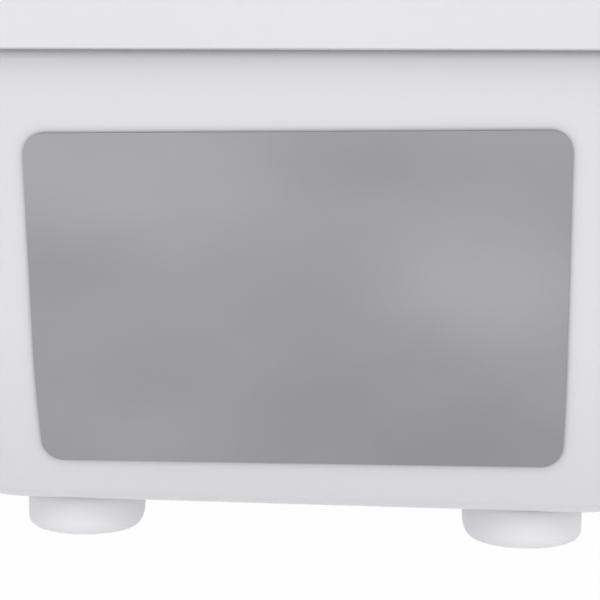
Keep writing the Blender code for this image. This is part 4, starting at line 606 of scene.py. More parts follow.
def smooth_table(table, steps):
    """Points on a smooth curve through a table of (size, rise)."""
    points = []
    for i in range(len(table) - 1):
        p0, p1 = table[max(0, i - 1)], table[i]
        p2, p3 = table[i + 1], table[min(len(table) - 1, i + 2)]
        for j in range(steps):
            t = j / steps
            points.append(tuple(
                0.5 * (2 * b + (c - a) * t + (2 * a - 5 * b + 4 * c - d) * t**2 + (3 * b - a - 3 * c + d) * t**3)
                for a, b, c, d in zip(p0, p1, p2, p3)))
    return points + [table[-1]]


# Base: tub, feet, upper housing, label and inlet


def lip_line(y):
    share = min(1.0, max(0.0, (y - lip_curve_front) / (lip_curve_rear - lip_curve_front)))
    return lip_front_height + (lip_rear_height - lip_front_height) * share**2 * (3 - 2 * share)


def flare(x, y):
    """The base is wider towards its front."""
    reach = lip_curve_rear - lip_curve_front
    ahead = max(0.0, lip_curve_rear - y)
    grown = ahead**2 / (2 * reach) if ahead < reach else ahead - reach / 2
    return x * (1 + flare_share * grown / (tub_rear - tub_front))


fillet_top = tub_floor + tub_edge_radius * (1 - sin(tub_foot_lean))
curve_rate = (tan(tub_foot_lean) - tan(tub_lean)) / (tub_curve_height - fillet_top)


def wall_inset(z, top):
    """How far a wall stands in from its top: it leans, and curves in towards its foot."""
    return tan(tub_lean) * (top - z) + curve_rate * max(0.0, tub_curve_height - z) ** 2 / 2


lip_steps, corner_steps, tub_rows, tub_row_power, fillet_rows = 26, 20, 40, 1.25, 12
lip_places = [lip_curve_front + (lip_curve_rear - lip_curve_front) / lip_steps * i for i in range(lip_steps + 1)]


def tub_ring(height_share=None, fillet_angle=None):
    """The tub's outline at a share of its walls' height, or at an angle of the fillet at their foot."""
    def spot(side, y, towards_rear=0, turn=None):
        top = lip_line(y)
        if fillet_angle is None:
            z = fillet_top + (top + tub_tongue - fillet_top) * height_share
            edge = 0.0
        else:
            z = tub_floor + tub_edge_radius * (1 - sin(fillet_angle))
            edge = tub_edge_radius * (cos(tub_foot_lean) - cos(fillet_angle))
        lean = wall_inset(max(z, fillet_top), top)
        corner = tub_corner - edge
        x = tub_half_width - lean * side_lean_share - edge
        if turn is None:
            y -= lean
        else:
            x += corner * (cos(turn) - 1)
            end = tub_rear - lean - edge if towards_rear > 0 else -tub_front - lean - edge
            y = towards_rear * (end + corner * (sin(turn) - 1))
        return (flare(side * x, y), y, z)

    turns = quarter(corner_steps)
    ring = [spot(1, y) for y in lip_places]
    ring += [spot(1, tub_rear, 1, turn) for turn in turns]
    ring += [spot(-1, tub_rear, 1, turn) for turn in reversed(turns)]
    ring += [spot(-1, y) for y in reversed(lip_places)]
    ring += [spot(-1, tub_front, -1, turn) for turn in turns]
    ring += [spot(1, tub_front, -1, turn) for turn in reversed(turns)]
    return ring


def side_point(y, z):
    return Vector((flare(tub_half_width - side_lean_share * wall_inset(z, lip_line(y)), y), y, z))


def side_frame(y, z, proud):
    """Axes on the tub's side: along it, up it and out of it."""
    centre = side_point(y, z)
    along = (side_point(y + running_gap, z) - centre).normalized()
    up = side_point(y, z + running_gap) - centre
    out = along.cross(up).normalized()
    axes = Matrix((along, out.cross(along), out)).transposed()
    return shift(*(centre + out * proud)) @ axes.to_4x4()


fillet_turn = tub_foot_lean - pi / 2
rings = [tub_ring(fillet_angle=pi / 2 + fillet_turn * i / fillet_rows) for i in range(fillet_rows)]
rings += [tub_ring(height_share=(i / tub_rows) ** tub_row_power) for i in range(tub_rows + 1)]
tub = thicken(loft("tub_shell", rings, close_last=False), tub_wall)
inlet_axes = side_frame(inlet_y, inlet_z, seat_gap)
width, height = inlet_body_width / 2 + seat_gap, inlet_body_height / 2 + seat_gap
cut(tub, moved(box("inlet_hole", (-width, -height, -tub_wall - overrun), (width, height, overrun)), inlet_axes))


def foot_outline(z, x, y, side, sides=72):
    """A foot is round; its edge is rounded more on the outer side than on the inner."""
    def drawn(round_, rise):
        share = max(0.0, 1 - z / rise)
        return round_ * (1 - (1 - share**foot_round_power) ** (1 / foot_round_power))

    outer, inner = drawn(foot_outer_round, foot_outer_rise), drawn(foot_inner_round, foot_inner_rise)
    radius, step = foot_radius - (outer + inner) / 2, side * (inner - outer) / 2
    turns = [2 * pi * i / sides for i in range(sides)]
    return [(x + step + radius * cos(a), y + radius * sin(a), z) for a in turns]


foot_rows, foot_row_power = 28, 1.7
foot_heights = [(tub_floor - seat_gap) * (i / foot_rows) ** foot_row_power for i in range(foot_rows + 1)]
thread = foot_screw_radius + seat_gap
screw_holes = []
for end, spacing, y in (("rear", foot_spacing, foot_rear_y), ("front", foot_front_spacing, foot_front_y)):
    for side in (-1, 1):
        x, which = side * spacing, f"{end}_{'left' if side < 0 else 'right'}"
        foot = loft("sole_" + which, [foot_outline(z, x, y, side) for z in foot_heights])
        x += side * (foot_inner_round - foot_outer_round) / 2
        cut(foot, upright("bore", x, y, -overrun, foot_screw_head + running_gap * 2,
                          foot_screw_head_radius + running_gap, bore_sides))
        cut(foot, upright("thread", x, y, 0.0, tub_floor, thread))
        dressed(foot, foot_white, "base", "foot_" + which, slot=False)
        screw_holes.append(upright("hole", x, y, tub_floor - overrun, tub_floor + tub_wall + overrun, thread))
cut(tub, together(*screw_holes))
dressed(tub, white_shell, "base", "base_tub")


def housing_profile(inset):
    """The housing's side outline; per point its y and z, and for each the way and the radius it draws in by."""
    plan, face = housing_corner - inset, tower_face_radius - inset
    top, low = tower_edge_radius - inset, deck_edge_radius - inset

    def bend(centre, radius, start, end, steps, sign, radius_y, radius_z):
        turns = [start + (end - start) * i / steps for i in range(steps + 1)]
        return [(centre[0] + radius * cos(a), centre[1] + radius * sin(a), sign * cos(a), radius_y,
                 sign * sin(a), radius_z) for a in turns]

    hinge = (hinge_y, hinge_z)
    points = [(housing_rear - inset, lip_rear_height, -1, plan, 0, top),
              (housing_rear - inset, lip_rear_height + tub_tongue + seat_gap, -1, plan, 0, top)]
    points += bend(hinge, cheek_radius - inset, 0.0, pi / 2, 24, -1, plan, top)
    points += bend(hinge, cheek_radius - inset, pi / 2, pi, 24, -1, face, top)[1:]
    points.append((tower_front + tower_neck_step + inset, tower_neck_height, 1, face, 0, top))
    foot = (tower_front - tower_fillet, deck_height + tower_fillet)
    points += bend(foot, tower_fillet + inset, 0.0, -pi / 2, 12, 1, face, low)
    edge = (housing_front + deck_edge_radius, deck_height - deck_edge_radius)
    points += [(y, z, 1, *rest) for y, z, _, *rest in bend(edge, low, pi / 2, pi, 12, -1, plan, low)]
    return points + [(housing_front + inset, lip_front_height, 1, plan, 0, low)]


def housing_block(name, inset, drop):
    half, plan = housing_half_width - inset, housing_corner - inset
    depths = [depth for _, depth in round_foot(plan, corner_steps)]
    profile = housing_profile(inset)
    rings = []
    for x, depth in [(-half + d, d) for d in depths] + [(half - d, d) for d in reversed(depths)]:
        ring = [(y + dy * swell(depth, ry), z + dz * swell(depth, rz)) for y, z, dy, ry, dz, rz in profile]
        ring[0] = (ring[0][0], lip_rear_height - drop)
        ring[-1] = (ring[-1][0], lip_front_height - drop)
        ring += [(y, lip_line(y) - drop) for y in lip_places]
        rings.append([(flare(x, y), y, z) for y, z in ring])
    return loft(name, rings, cap=slice_cap)


housing = housing_block("housing_shell", 0.0, 0.0)
hollow = housing_block("housing_hollow", housing_wall, tub_tongue + overrun)
gap_side = barrel_half_width + cheek_gap
wall_end = gap_side + housing_wall
saddle_radius = barrel_radius + seat_gap + running_gap
rear, top = housing_rear + overrun, hinge_z + cheek_radius + overrun
cut(hollow, crosswise("saddle_wall", -wall_end, wall_end, hinge_y, hinge_z, saddle_radius + housing_wall,
                      barrel_sides))
cut(hollow, box("saddle_top", (-wall_end, tower_front - overrun, saddle_top - housing_wall), (wall_end, rear, top)))
cut(housing, hollow)
cut(housing, crosswise("saddle", -gap_side, gap_side, hinge_y, hinge_z, saddle_radius, barrel_sides))
cut(housing, box("mouth", (-gap_side, tower_front - tower_fillet - overrun, saddle_top), (gap_side, rear, top)))
reach = wall_end + overrun
cut(housing, crosswise("shaft_bore", -reach, reach, hinge_y, hinge_z, shaft_radius + running_gap, bore_sides))
cut(housing, crosswise("lock_bore", housing_half_width - housing_wall - overrun, housing_half_width + overrun,
                       lock_y, lock_z, lock_pin_radius + running_gap))
dressed(housing, white_shell, "base", "base_upper_housing")


def make_label(columns=24, rows=40, corner_rows=14):
    """The bare film plate, which follows the rear wall."""
    corner, height = label_corner, label_top - label_bottom
    ends = [(rise, inset) for inset, rise in round_foot(corner, corner_rows)]
    levels = [(label_bottom + z, inset) for z, inset in ends]
    levels += [(label_bottom + corner + (height - 2 * corner) * i / rows, 0.0) for i in range(1, rows)]
    levels += [(label_top - z, inset) for z, inset in reversed(ends)]
    middle = (label_bottom + label_top) / 2
    shape = bmesh.new()
    grid = []
    for z, inset in levels:
        row = []
        for i in range(columns + 1):
            u, v = (-1 + 2 * i / columns) * (label_width / 2 - inset), z - middle
            x = label_shift + u * cos(label_turn) - v * sin(label_turn)
            up = middle + u * sin(label_turn) + v * cos(label_turn)
            y = tub_rear - wall_inset(up, lip_rear_height) + seat_gap + label_thickness
            row.append(shape.verts.new((x, y, up)))
        grid.append(row)
    for one, two in zip(grid, grid[1:]):
        for i in range(columns):
            shape.faces.new((one[i + 1], one[i], two[i], two[i + 1]))
    mesh = bpy.data.meshes.new("label_film")
    shape.to_mesh(mesh)
    shape.free()
    return thicken(place("label_film", mesh), label_thickness)


dressed(make_label(), silver_film, "base", "rating_plate", sharp=50.0)


inlet_corner, recess_corner, pin_root, inlet_floor = 0.003, 0.002, 0.0004, inlet_wall - inlet_depth
width, height = inlet_body_width / 2, inlet_body_height / 2
flange = rounded(inlet_flange_width / 2, inlet_flange_height / 2, inlet_corner, steps=8)
recess = rounded(width - inlet_wall, height - inlet_wall, recess_corner, steps=8)
socket = eased(flat("inlet_socket", flange, 0.0, inlet_flange_thickness), inlet_edge, 2)
join(socket, flat("body", rounded(width, height, inlet_corner, steps=8), -inlet_depth, inlet_flange_thickness / 2))
cut(socket, flat("recess", recess, inlet_floor, inlet_flange_thickness + overrun))
dressed(moved(socket, inlet_axes), black_plastic, "base", "mains_inlet")
pins = []
wide, high = inlet_pin_height / 2, inlet_pin_thickness / 2
for i in (-1, 0, 1):
    u, v = -inlet_pin_step / 2 if i else inlet_pin_step, i * inlet_pin_pitch
    pin = box("pin", (u - wide, v - high, inlet_floor - pin_root),
              (u + wide, v + high, inlet_floor + inlet_pin_length))
    pins.append(eased(pin, pin_edge, 2))
dressed(moved(together(*pins), inlet_axes), brass, "base", slot=False).name = "inlet_pins"


# Carry lock

tip_y = lock_y - lock_length
face = flare(housing_half_width, tip_y - lock_tip_radius) + seat_gap
outside = face + lock_thickness
outline = arc((lock_y, lock_z), lock_hub_radius, -pi / 2, pi / 2, 20)
outline += arc((tip_y, lock_z), lock_tip_radius, pi / 2, 3 * pi / 2, 16)
lever = eased(flat("lock_handle", outline, face, outside, SIDEWAYS), lock_edge, 4)
groove_start, groove_pitch, groove_half, groove_radius = 0.0005, 0.0028, 0.0030, 0.0006
for i in range(4):
    y = tip_y + groove_start + i * groove_pitch
    cut(lever, upright("groove", outside, y, lock_z - groove_half, lock_z + groove_half, groove_radius, groove_sides))
inner = housing_half_width - housing_wall - seat_gap
join(lever, crosswise("pin", inner - lock_cam_thickness / 2, face + lock_thickness / 2, lock_y, lock_z,
                      lock_pin_radius))
join(lever, crosswise("cam", inner - lock_cam_thickness, inner, lock_y, lock_z, lock_cam_radius,
                      bore_sides))
dressed(lever, grey_shell, "lock", "lock_lever")


# Board: its pad and its cover


def board_outline(inset, steps=24):
    return rounded(board_half_length - inset, board_half_width - inset, board_corner - inset, (0.0, board_y), steps)


side = pan_wall + pad_gap
pad_foot = pan_bottom + pan_wall + pad_gap
levels = [(pan_edge_radius + pad_gap, pad_foot), (side, pad_foot + pan_edge_radius), (side, pad_top - pad_round)]
levels += [(side + inset, pad_top - pad_crown - drop) for drop, inset in round_foot(pad_round, 8)[1:]]
crown = ((pad_round * 1.5, pad_crown * 0.3), (pad_round * 2, 0.0))
levels += [(side + inset, pad_top - drop) for inset, drop in crown]
pad = dressed(loft("felt_pad", stack(board_outline, levels)), foam, "base", "board_pad")

hem_folds, cover_corner_steps = 88, 139


def cover_fold(i, count):
    """How far the gathered cloth stands out at a place of the ring: folds of uneven width and depth."""
    turn = 2 * pi * i / count
    at = Vector((3.0 * cos(turn), 3.0 * sin(turn), 0.0))
    uneven_width = 3.0 * noise.noise(at * 1.7)
    phase = hem_folds * turn + uneven_width
    depth = 0.55 + 0.45 * noise.noise(at * 4.0 + Vector((9.0, 0.0, 0.0)))
    return depth * (0.5 + 0.5 * cos(phase))


def cloth_ring(inset, z, folds=0.0, turn=0.0):
    """The cover's outline with its gathers, which stand out along a direction between sideways and down."""
    outline = board_outline(inset, cover_corner_steps)
    ring = []
    for i, (x, y) in enumerate(outline):
        wave = folds * cover_fold(i, len(outline))
        grown = 1 + wave * cos(turn) / hypot(x, y - board_y)
        ring.append((x * grown, board_y + (y - board_y) * grown, z - wave * sin(turn)))
    return ring


cloth_settings = {
    "quality": 4, "mass": 0.3, "tension_stiffness": 12.0, "compression_stiffness": 4.0, "shear_stiffness": 2.0,
    "bending_stiffness": 0.05, "shrink_min": -0.04, "use_pressure": True, "uniform_pressure_force": 1.5}


def relaxed(made, held, frames, most):
    """Lets the gathered cloth settle between its held places; no point moves more than the given length."""
    start = [v.co.copy() for v in made.data.vertices]
    normals = [v.normal.copy() for v in made.data.vertices]
    made.vertex_groups.new(name="held").add(held, 1.0, "REPLACE")
    change = made.modifiers.new("cloth", "CLOTH")
    for key, value in cloth_settings.items():
        setattr(change.settings, key, value)
    change.settings.effector_weights.gravity = 0.0
    change.settings.vertex_group_mass = "held"
    change.collision_settings.use_self_collision = False
    change.point_cache.frame_start = 1
    change.point_cache.frame_end = frames
    for i in range(1, frames + 1):
        bpy.context.scene.frame_set(i)
    settle(made)
    bpy.context.scene.frame_set(1)
    made.vertex_groups.clear()
    for v, was, out in zip(made.data.vertices, start, normals):
        step = v.co - was
        step -= out * min(0.0, step.dot(out) + most_inwards)
        if step.length > most:
            step *= most / step.length
        v.co = was + step
    made.data.update()


cover_offset = seat_gap + cloth_thickness
radius, depth = pan_edge_radius + cover_offset, cloth_fold_depth
hem_rows, bend_rows, side_rows, top_rows, held_hem_rows = 6, 8, 3, 10, 2
bend_folds, side_folds, top_folds = 0.85, 0.30, 0.08
cloth_frames, most_moved, most_inwards = 16, 0.0011, 0.0002
rings = []
for i in range(hem_rows):
    share = i / hem_rows
    inset = cloth_hem_inset + (pan_edge_radius - cloth_hem_inset) * share
    folds = depth * (1 - (1 - bend_folds) * share)
    rings.append(cloth_ring(inset, pan_bottom - cover_offset, folds, pi / 2))
for i, a in enumerate(quarter(bend_rows)):
    z = pan_bottom + pan_edge_radius - radius * cos(a)
    folds = depth * (bend_folds - (bend_folds - side_folds) * i / bend_rows)
    rings.append(cloth_ring(pan_edge_radius - radius * sin(a), z, folds, pi / 2 - a))
low, high = pan_bottom + pan_edge_radius, pad_top - pad_round
for i in range(1, side_rows + 1):
    folds = depth * side_folds * (1 - i / (side_rows + 1))
    rings.append(cloth_ring(-cover_offset, low + (high - low) * i / side_rows, folds))
loose_rows = len(rings)
for i, (drop, inset) in enumerate(round_foot(pad_round, top_rows)[1:], 1):
    folds = depth * top_folds * (1 - i / top_rows)
    rings.append(cloth_ring(inset - cover_offset, board_surface - pad_crown - drop, folds))
rings += [cloth_ring(side + inset, board_surface - drop) for inset, drop in crown]
cover = loft("cloth_cover", rings, close_first=False)
side_cloth = loft("side_cloth", rings[:loose_rows + 2], close_first=False, close_last=False)
points = range(len(side_cloth.data.vertices))
held = [i for i in points if not held_hem_rows <= i // len(rings[0]) < loose_rows]
relaxed(side_cloth, held, cloth_frames, most_moved)
for v, settled in zip(cover.data.vertices, side_cloth.data.vertices):
    v.co = settled.co
remove(side_cloth)
thicken(cover, cloth_thickness)
dressed(cover, cloth, "base", "board_cover", sharp=80.0)


# Hot plate


def plate_outline(inset, steps=28):
    return rounded(plate_half_length - inset, plate_half_width - inset, plate_corner - inset, (0.0, board_y), steps)


levels = [(inset, sole_bottom + rise) for inset, rise in round_foot(sole_edge, 4)] + [(0.0, sole_top)]
sole = loft("hot_sole", stack(plate_outline, levels))
first_column = -(steam_hole_columns - 1) / 2
holes = []
for row in (-1, 0, 1):
    for column in range(steam_hole_columns):
        holes.append(upright("hole", (first_column + column) * steam_hole_pitch, board_y + row * steam_hole_row_pitch,
                             sole_bottom - overrun, sole_bottom + steam_hole_depth, steam_hole_radius,
                             steam_hole_sides))
cut(sole, together(*holes))
dressed(sole, aluminium, "plate", "soleplate")

# The dome's outline, as shares of the plate's size and of the dome's height
dome = ((1.0, 0.30), (0.985, 0.50), (0.94, 0.65), (0.83, 0.80), (0.64, 0.91), (0.40, 0.975), (0.14, 1.0))
rings = []
for size, rise in [(1.0, 0.0), (1.0, 0.15)] + smooth_table(dome, 7):
    z = plate_cover_bottom + plate_cover_height * rise
    rings.append([(x * size, board_y + (y - board_y) * size, z) for x, y in plate_outline(0.0)])
cover = thicken(loft("plate_dome", rings, close_first=False), plate_cover_wall)
dressed(cover, white_shell, "plate", "plate_cover", sharp=50.0)


# Arm covers


def arm_width(y):
    grown = max(0.0, tower_front - y) / (tower_front - arm_nose)
    return barrel_half_width + (arm_front_half_width - barrel_half_width) * grown


panel_front_z = arm_top - arm_panel_drop
panel_rear_z = arm_top - arm_nose_radius / 8


def arm_profile():
    """The arm's side outline: barrel, top, tank bay, panel, nose and underside."""
    brow_share, heel_share = 1.3, 0.84
    front, chin = arm_nose + arm_nose_radius, arm_bottom + arm_nose_radius
    brow = panel_front_z - arm_nose_radius * brow_share
    points = arc((hinge_y, hinge_z), barrel_radius, arm_barrel_start, arm_barrel_end, 51)
    last_y, last_z = points[0]
    points += [(arm_flat_rear + arm_nose_radius, panel_rear_z), (arm_flat_rear, arm_top),
               (bay_front - arm_nose_radius / 2, arm_top), (arm_panel_rear, panel_rear_z),
               (arm_panel_front, panel_front_z)]
    points += arc((front, brow), arm_nose_radius, pi * 0.56, pi, 12)
    points += arc((front, chin), arm_nose_radius, pi, pi * 1.5, 12)
    points += [(arm_throat_y - arm_nose_radius, arm_bottom), (arm_throat_y, arm_bottom - arm_throat_drop / 4),
               (arm_throat_y + arm_nose_radius, arm_bottom - arm_throat_drop),
               (last_y - arm_nose_radius / 4, last_z + arm_nose_radius * heel_share)]
    return points


def drawn_in(points, distance):
    """A closed outline drawn in by a distance."""
    inner = []
    for i, (y, z) in enumerate(points):
        before, after = points[i - 1], points[(i + 1) % len(points)]
        one = Vector((y - before[0], z - before[1])).normalized()
        two = Vector((after[0] - y, after[1] - z)).normalized()
        across = Vector((-(one.y + two.y), one.x + two.x)).normalized()
        stretch = 1 / max(0.5, across.dot(Vector((-one.y, one.x))))
        inner.append((y + across.x * distance * stretch, z + across.y * distance * stretch))
    return inner


def arm_block(name, wall):
    profile = arm_profile()
    edge = arm_edge_radius - wall
    insets = [(wall + inset, wall + depth) for inset, depth in round_foot(edge, 8)]
    rings = []
    for side, inset, depth in [(-1, *pair) for pair in insets] + [(1, *pair) for pair in reversed(insets)]:
        ring = drawn_in(profile, inset) if inset else profile
        rings.append([(side * (arm_width(y) - depth), y, z) for y, z in ring])
    return loft(name, rings, cap=slice_cap)


def bay_outline(grow, steps=14):
    half_length = (bay_rear - bay_front) / 2 + grow
    middle = (0.0, (bay_rear + bay_front) / 2)
    return rounded(bay_half_width + grow, half_length, bay_corner + grow, middle, steps)


panel_middle = (0.0, (arm_panel_rear + arm_panel_front) / 2, (panel_rear_z + panel_front_z) / 2)
panel_lean = atan2(panel_rear_z - panel_front_z, arm_panel_rear - arm_panel_front)
panel = shift(*panel_middle) @ Matrix.Rotation(panel_lean, 4, "X")


def arm_solid(name):
    arm = arm_block(name, 0.0)
    hollow = arm_block(name + "_hollow", arm_wall)
    cut(hollow, flat("bay_wall", bay_outline(arm_wall), bay_floor - arm_wall, arm_top + overrun))
    cut(arm, hollow)
    cut(arm, flat("bay", bay_outline(0.0), bay_floor, arm_top + overrun))
    reach = barrel_half_width + overrun
    cut(arm, crosswise("bore", -reach, reach, hinge_y, hinge_z, shaft_radius + running_gap * 3, bore_sides))
    x, y = yoke_lug_inner + yoke_lug_thickness + running_gap * 4, yoke_lug_radius + running_gap * 5
    cut(arm, box("slot", (-x, board_y - y, arm_bottom - overrun),
                 (x, board_y + y, arm_bottom + arm_wall + overrun / 2)))
    half = handle_tongue_half_height + seat_gap
    for side in (-1, 1):
        near, far = sorted((side * (handle_bracket_inner - seat_gap),
                            side * (handle_bracket_inner + handle_bracket_width + seat_gap)))
        cut(arm, box("tongue", (near, arm_nose - overrun, handle_tongue_z - half),
                     (far, arm_nose + arm_wall + overrun, handle_tongue_z + half)))
    return arm


def split_region(below):
    """All that lies below or above the split between the arm's covers."""
    far, gap = board_half_length, -arm_split_gap / 2 if below else arm_split_gap / 2
    height, axis = arm_split_height + gap, hinge_z + gap
    edge = 0.0 if below else board_half_length
    line = [(-far, height), (tower_front, height), (hinge_y, axis), (far, axis), (far, edge), (-far, edge)]
    return flat("region", line, -far, far, SIDEWAYS)


lower = combine(arm_solid("arm_belly"), split_region(True), operation="INTERSECT")
dressed(lower, white_shell, "arm", "arm_lower_cover")
upper = combine(arm_solid("arm_shell"), split_region(False), operation="INTERSECT")


def panel_holes(made, low, high):
    """The holes for the dial's shaft and the rocker, in the panel's axes."""
    wide, long = rocker_half_width + running_gap, rocker_half_length + running_gap
    for hole in (upright("hole", 0.0, 0.0, low, high, dial_shaft_radius + running_gap),
                 box("hole", (rocker_x - wide, -long, low), (rocker_x + wide, long, high))):
        cut(made, moved(hole, panel))


panel_holes(upper, -arm_wall - overrun, overrun)
cut(upper, upright("hole", tank_valve_x, tank_valve_y, bay_floor - arm_wall - overrun / 2, bay_floor + overrun,
                   tank_valve_radius + running_gap * 2))
dressed(upper, white_shell, "arm", "arm_upper_cover")


# Handle

half, boss = handle_tongue_half_height, handle_boss_half_width
bracket_outline = [
    (rail_front - seat_gap, handle_tongue_z - half), (rail_front - seat_gap, handle_tongue_z + half),
    (arm_nose - running_gap, handle_tongue_z + half), (handle_boss_y + boss, handle_boss_top),
    (handle_boss_y - boss, handle_boss_top),
    *arc((handle_y, handle_z), handle_end_radius, pi * 0.4, pi * 1.6, 40),
    (handle_boss_y, handle_tongue_z - half * 1.5), (arm_nose - running_gap, handle_tongue_z - half)]
button_top = handle_boss_top + steam_button_proud
button_low = button_top - steam_button_height
dish = ((0.0, 0.0005), (0.35, 0.0004), (0.6, 0.0001))
button_profile = [(steam_button_radius * share, button_top - deep) for share, deep in dish]
button_profile += rim(steam_button_radius, button_top, steam_button_gap * 2, 6)
button_profile += [(steam_button_radius, button_low), (0.0, button_low)]
for side, which in ((-1, "left"), (1, "right")):
    inner, outer = side * handle_bracket_inner, side * (handle_bracket_inner + handle_bracket_width)
    bracket = flat("handle_end_" + which, bracket_outline, min(inner, outer), max(inner, outer), SIDEWAYS)
    eased(bracket, bracket_edge, 4, 30.0)
    cut(bracket, crosswise("bore", inner - side * overrun, outer - side * overrun, handle_y, handle_z,
                           handle_bar_radius + seat_gap, bore_sides))
    x = (inner + outer) / 2
    cut(bracket, upright("pocket", x, handle_boss_y, handle_boss_top - steam_button_pocket, handle_boss_top + overrun,
                         steam_button_radius + steam_button_gap, pocket_sides))
    dressed(bracket, white_shell, "arm", "handle_bracket_" + which)
    button = turned("button_" + which, button_profile, shift(x, handle_boss_y, 0.0))
    dressed(button, grey_shell, "button_" + which, "steam_button_" + which)

half, bore, edge = handle_bracket_inner - seat_gap, handle_bar_radius + seat_gap, grip_swell * 2
grip_rows, ring_depth, smooth_share = 120, 0.0004, 0.84
grip_end = rim(grip_radius, half, edge, 6)
profile = [(bore, half), *grip_end]
for i in range(1, grip_rows):
    share = 1 - 2 * i / grip_rows
    r = grip_radius + grip_swell * (1 - share**2)
    if abs(share) > smooth_share and i % 6 in (2, 3):
        r -= ring_depth
    profile.append((r, (half - edge) * share))
profile += [(r, -h) for r, h in reversed(grip_end)] + [(bore, -half)]
axes = shift(0.0, handle_y, handle_z) @ turn_to(Vector((1, 0, 0)))
dressed(turned("grip_sleeve", profile, axes), soft_grip, "arm", "handle_grip")


# Control panel

panel_face = seat_gap + panel_thickness
outline = rounded(panel_half_width, panel_half_length, panel_corner, steps=16)
fascia = moved(eased(flat("panel_plate", outline, seat_gap, panel_face), panel_edge), panel)
panel_holes(fascia, -overrun, panel_thickness + overrun)
for side in (-1, 1):
    cut(fascia, moved(upright("hole", lamp_x, side * lamp_pitch / 2, -overrun, panel_thickness + overrun,
                              lamp_radius + seat_gap), panel))
dressed(fascia, grey_shell, "arm", "control_fascia")

scale_start, scale_range, numbers, ticks_per_number = radians(225.0), radians(270.0), 5, 4
number_size, number_radius, print_height, print_lift = 0.0062, 0.0278, 0.00006, 0.00005
tick_radius, tick_low, tick_high = 0.0206, -0.00002, 0.0001
long_tick, short_tick = (0.0024, 0.0003), (0.0014, 0.0002)


def number(text, x, y):
    """A number as thin raised print on the panel."""
    curve = bpy.data.curves.new("print", "FONT")
    curve.body, curve.size, curve.extrude, curve.resolution_u = text, number_size, print_height, 4
    curve.align_x = curve.align_y = "CENTER"
    holder = place("print", curve)
    mesh = final_mesh(holder)
    remove(holder)
    return moved(place("print", mesh), shift(x, y, panel_face + print_lift))


def scale_turn(share):
    """The direction on the panel of a share of the dial's range, from the lower left round the top."""
    return scale_start - scale_range * share


marks = []
for i in range(numbers):
    a = scale_turn(i / (numbers - 1))
    marks.append(number(str(i), number_radius * cos(a), number_radius * sin(a)))
last_tick = (numbers - 1) * ticks_per_number
for i in range(last_tick + 1):
    length, half = short_tick if i % ticks_per_number else long_tick
    tick = box("mark", (tick_radius, -half, panel_face + tick_low),
               (tick_radius + length, half, panel_face + tick_high))
    marks.append(moved(tick, Matrix.Rotation(scale_turn(i / last_tick), 4, "Z")))
dressed(moved(together(*marks), panel), print_white, "arm", slot=False).name = "panel_scale"

top = panel_face + lamp_proud
profile = [(lamp_radius * sin(a), top - lamp_proud * (1 - cos(a))) for a in quarter(10)]
profile += [(lamp_radius, seat_gap * 2), (0.0, seat_gap * 2)]
for name, y, paint in (("power", lamp_pitch / 2, lamp_red), ("ready", -lamp_pitch / 2, lamp_green)):
    lens = turned("lens_" + name, profile, panel @ shift(lamp_x, y, 0.0), lens_sides)
    dressed(lens, paint, "arm", name + "_lamp")

face = panel_face + seat_gap
top, foot, edge, dial_rows = face + dial_height, face + dial_height / 3, lamp_proud, 14
profile = [(0.0, top)] + rim(dial_cap_radius, top, edge, 8)
for i in range(1, dial_rows + 1):
    share = i / dial_rows
    profile.append((dial_cap_radius + edge / 2 * share, top - edge + (foot - top + edge) * share))
skirt, skirt_edge, skirt_rise, skirt_drop = face + dial_height / 4, 0.0008, 0.0003, 0.0005
profile += [(dial_radius - skirt_edge, skirt + skirt_rise), (dial_radius, skirt - skirt_drop),
            (dial_radius, face), (dial_shaft_radius, face), (dial_shaft_radius, -dial_shaft_depth),
            (0.0, -dial_shaft_depth)]
dial_teeth, sides_per_tooth, tooth_depth = 36, 8, 0.0006
tooth_range = (foot + 0.0003, top - edge - 0.0001)
dial = turned("dial_knob", profile, LYING, dial_teeth * sides_per_tooth, dial_teeth, tooth_depth, tooth_range)
dressed(moved(dial, panel), white_shell, "dial", "temperature_dial", sharp=30.0)
pointer_start, pointer_end, pointer_half = 0.0068, dial_cap_radius - 0.0012, 0.0007
pointer_low, pointer_high = top - 0.0003, top + 0.00025
pointer = box("pointer", (pointer_start, -pointer_half, pointer_low), (pointer_end, pointer_half, pointer_high))
eased(pointer, pointer_edge, 2)
moved(pointer, panel @ Matrix.Rotation(scale_turn(0.0), 4, "Z"))
dressed(pointer, grey_shell, "dial", slot=False).name = "dial_pointer"

wide, long = rocker_half_width, rocker_half_length - running_gap * 2
rocker_middle, rocker_dish_power, rocker_steps = panel_face + rocker_proud - rocker_rise, 1.6, 8


def rocker_top(share):
    """The height of the rocker's dished top at a share of its half length."""
    return rocker_middle - running_gap + rocker_rise * abs(share) ** rocker_dish_power


outline = [(-long + rocker_rise, -rocker_depth), (long - rocker_rise, -rocker_depth), (long, 0.0)]
shares = [1 - i / rocker_steps for i in range(2 * rocker_steps + 1)]
outline += [(long * share, rocker_top(share)) for share in shares] + [(-long, 0.0)]
axes = panel @ Matrix.Rotation(rocker_rest, 4, "X")
rocker = eased(flat("rocker_key", outline, rocker_x - wide, rocker_x + wide, SIDEWAYS), rocker_edge, 3, 50.0)
dressed(moved(rocker, axes), black_plastic, "rocker", "power_rocker")
mark_depth, mark_thickness, bar_at, ring_at = 0.00018, 0.0003, 0.52, -0.55
bar_half, bar_width, ring_outside, ring_inside = 0.0018, 0.0006, 0.0017, 0.0012
bar = box("mark", (rocker_x - bar_half, 0.0, 0.0), (rocker_x + bar_half, bar_width, mark_thickness))
ring = turned("mark", [(ring_outside, 0.0), (ring_outside, mark_thickness), (ring_inside, mark_thickness),
                       (ring_inside, 0.0)], sides=hole_sides)
moved(bar, shift(0.0, long * bar_at, rocker_top(bar_at) - mark_depth))
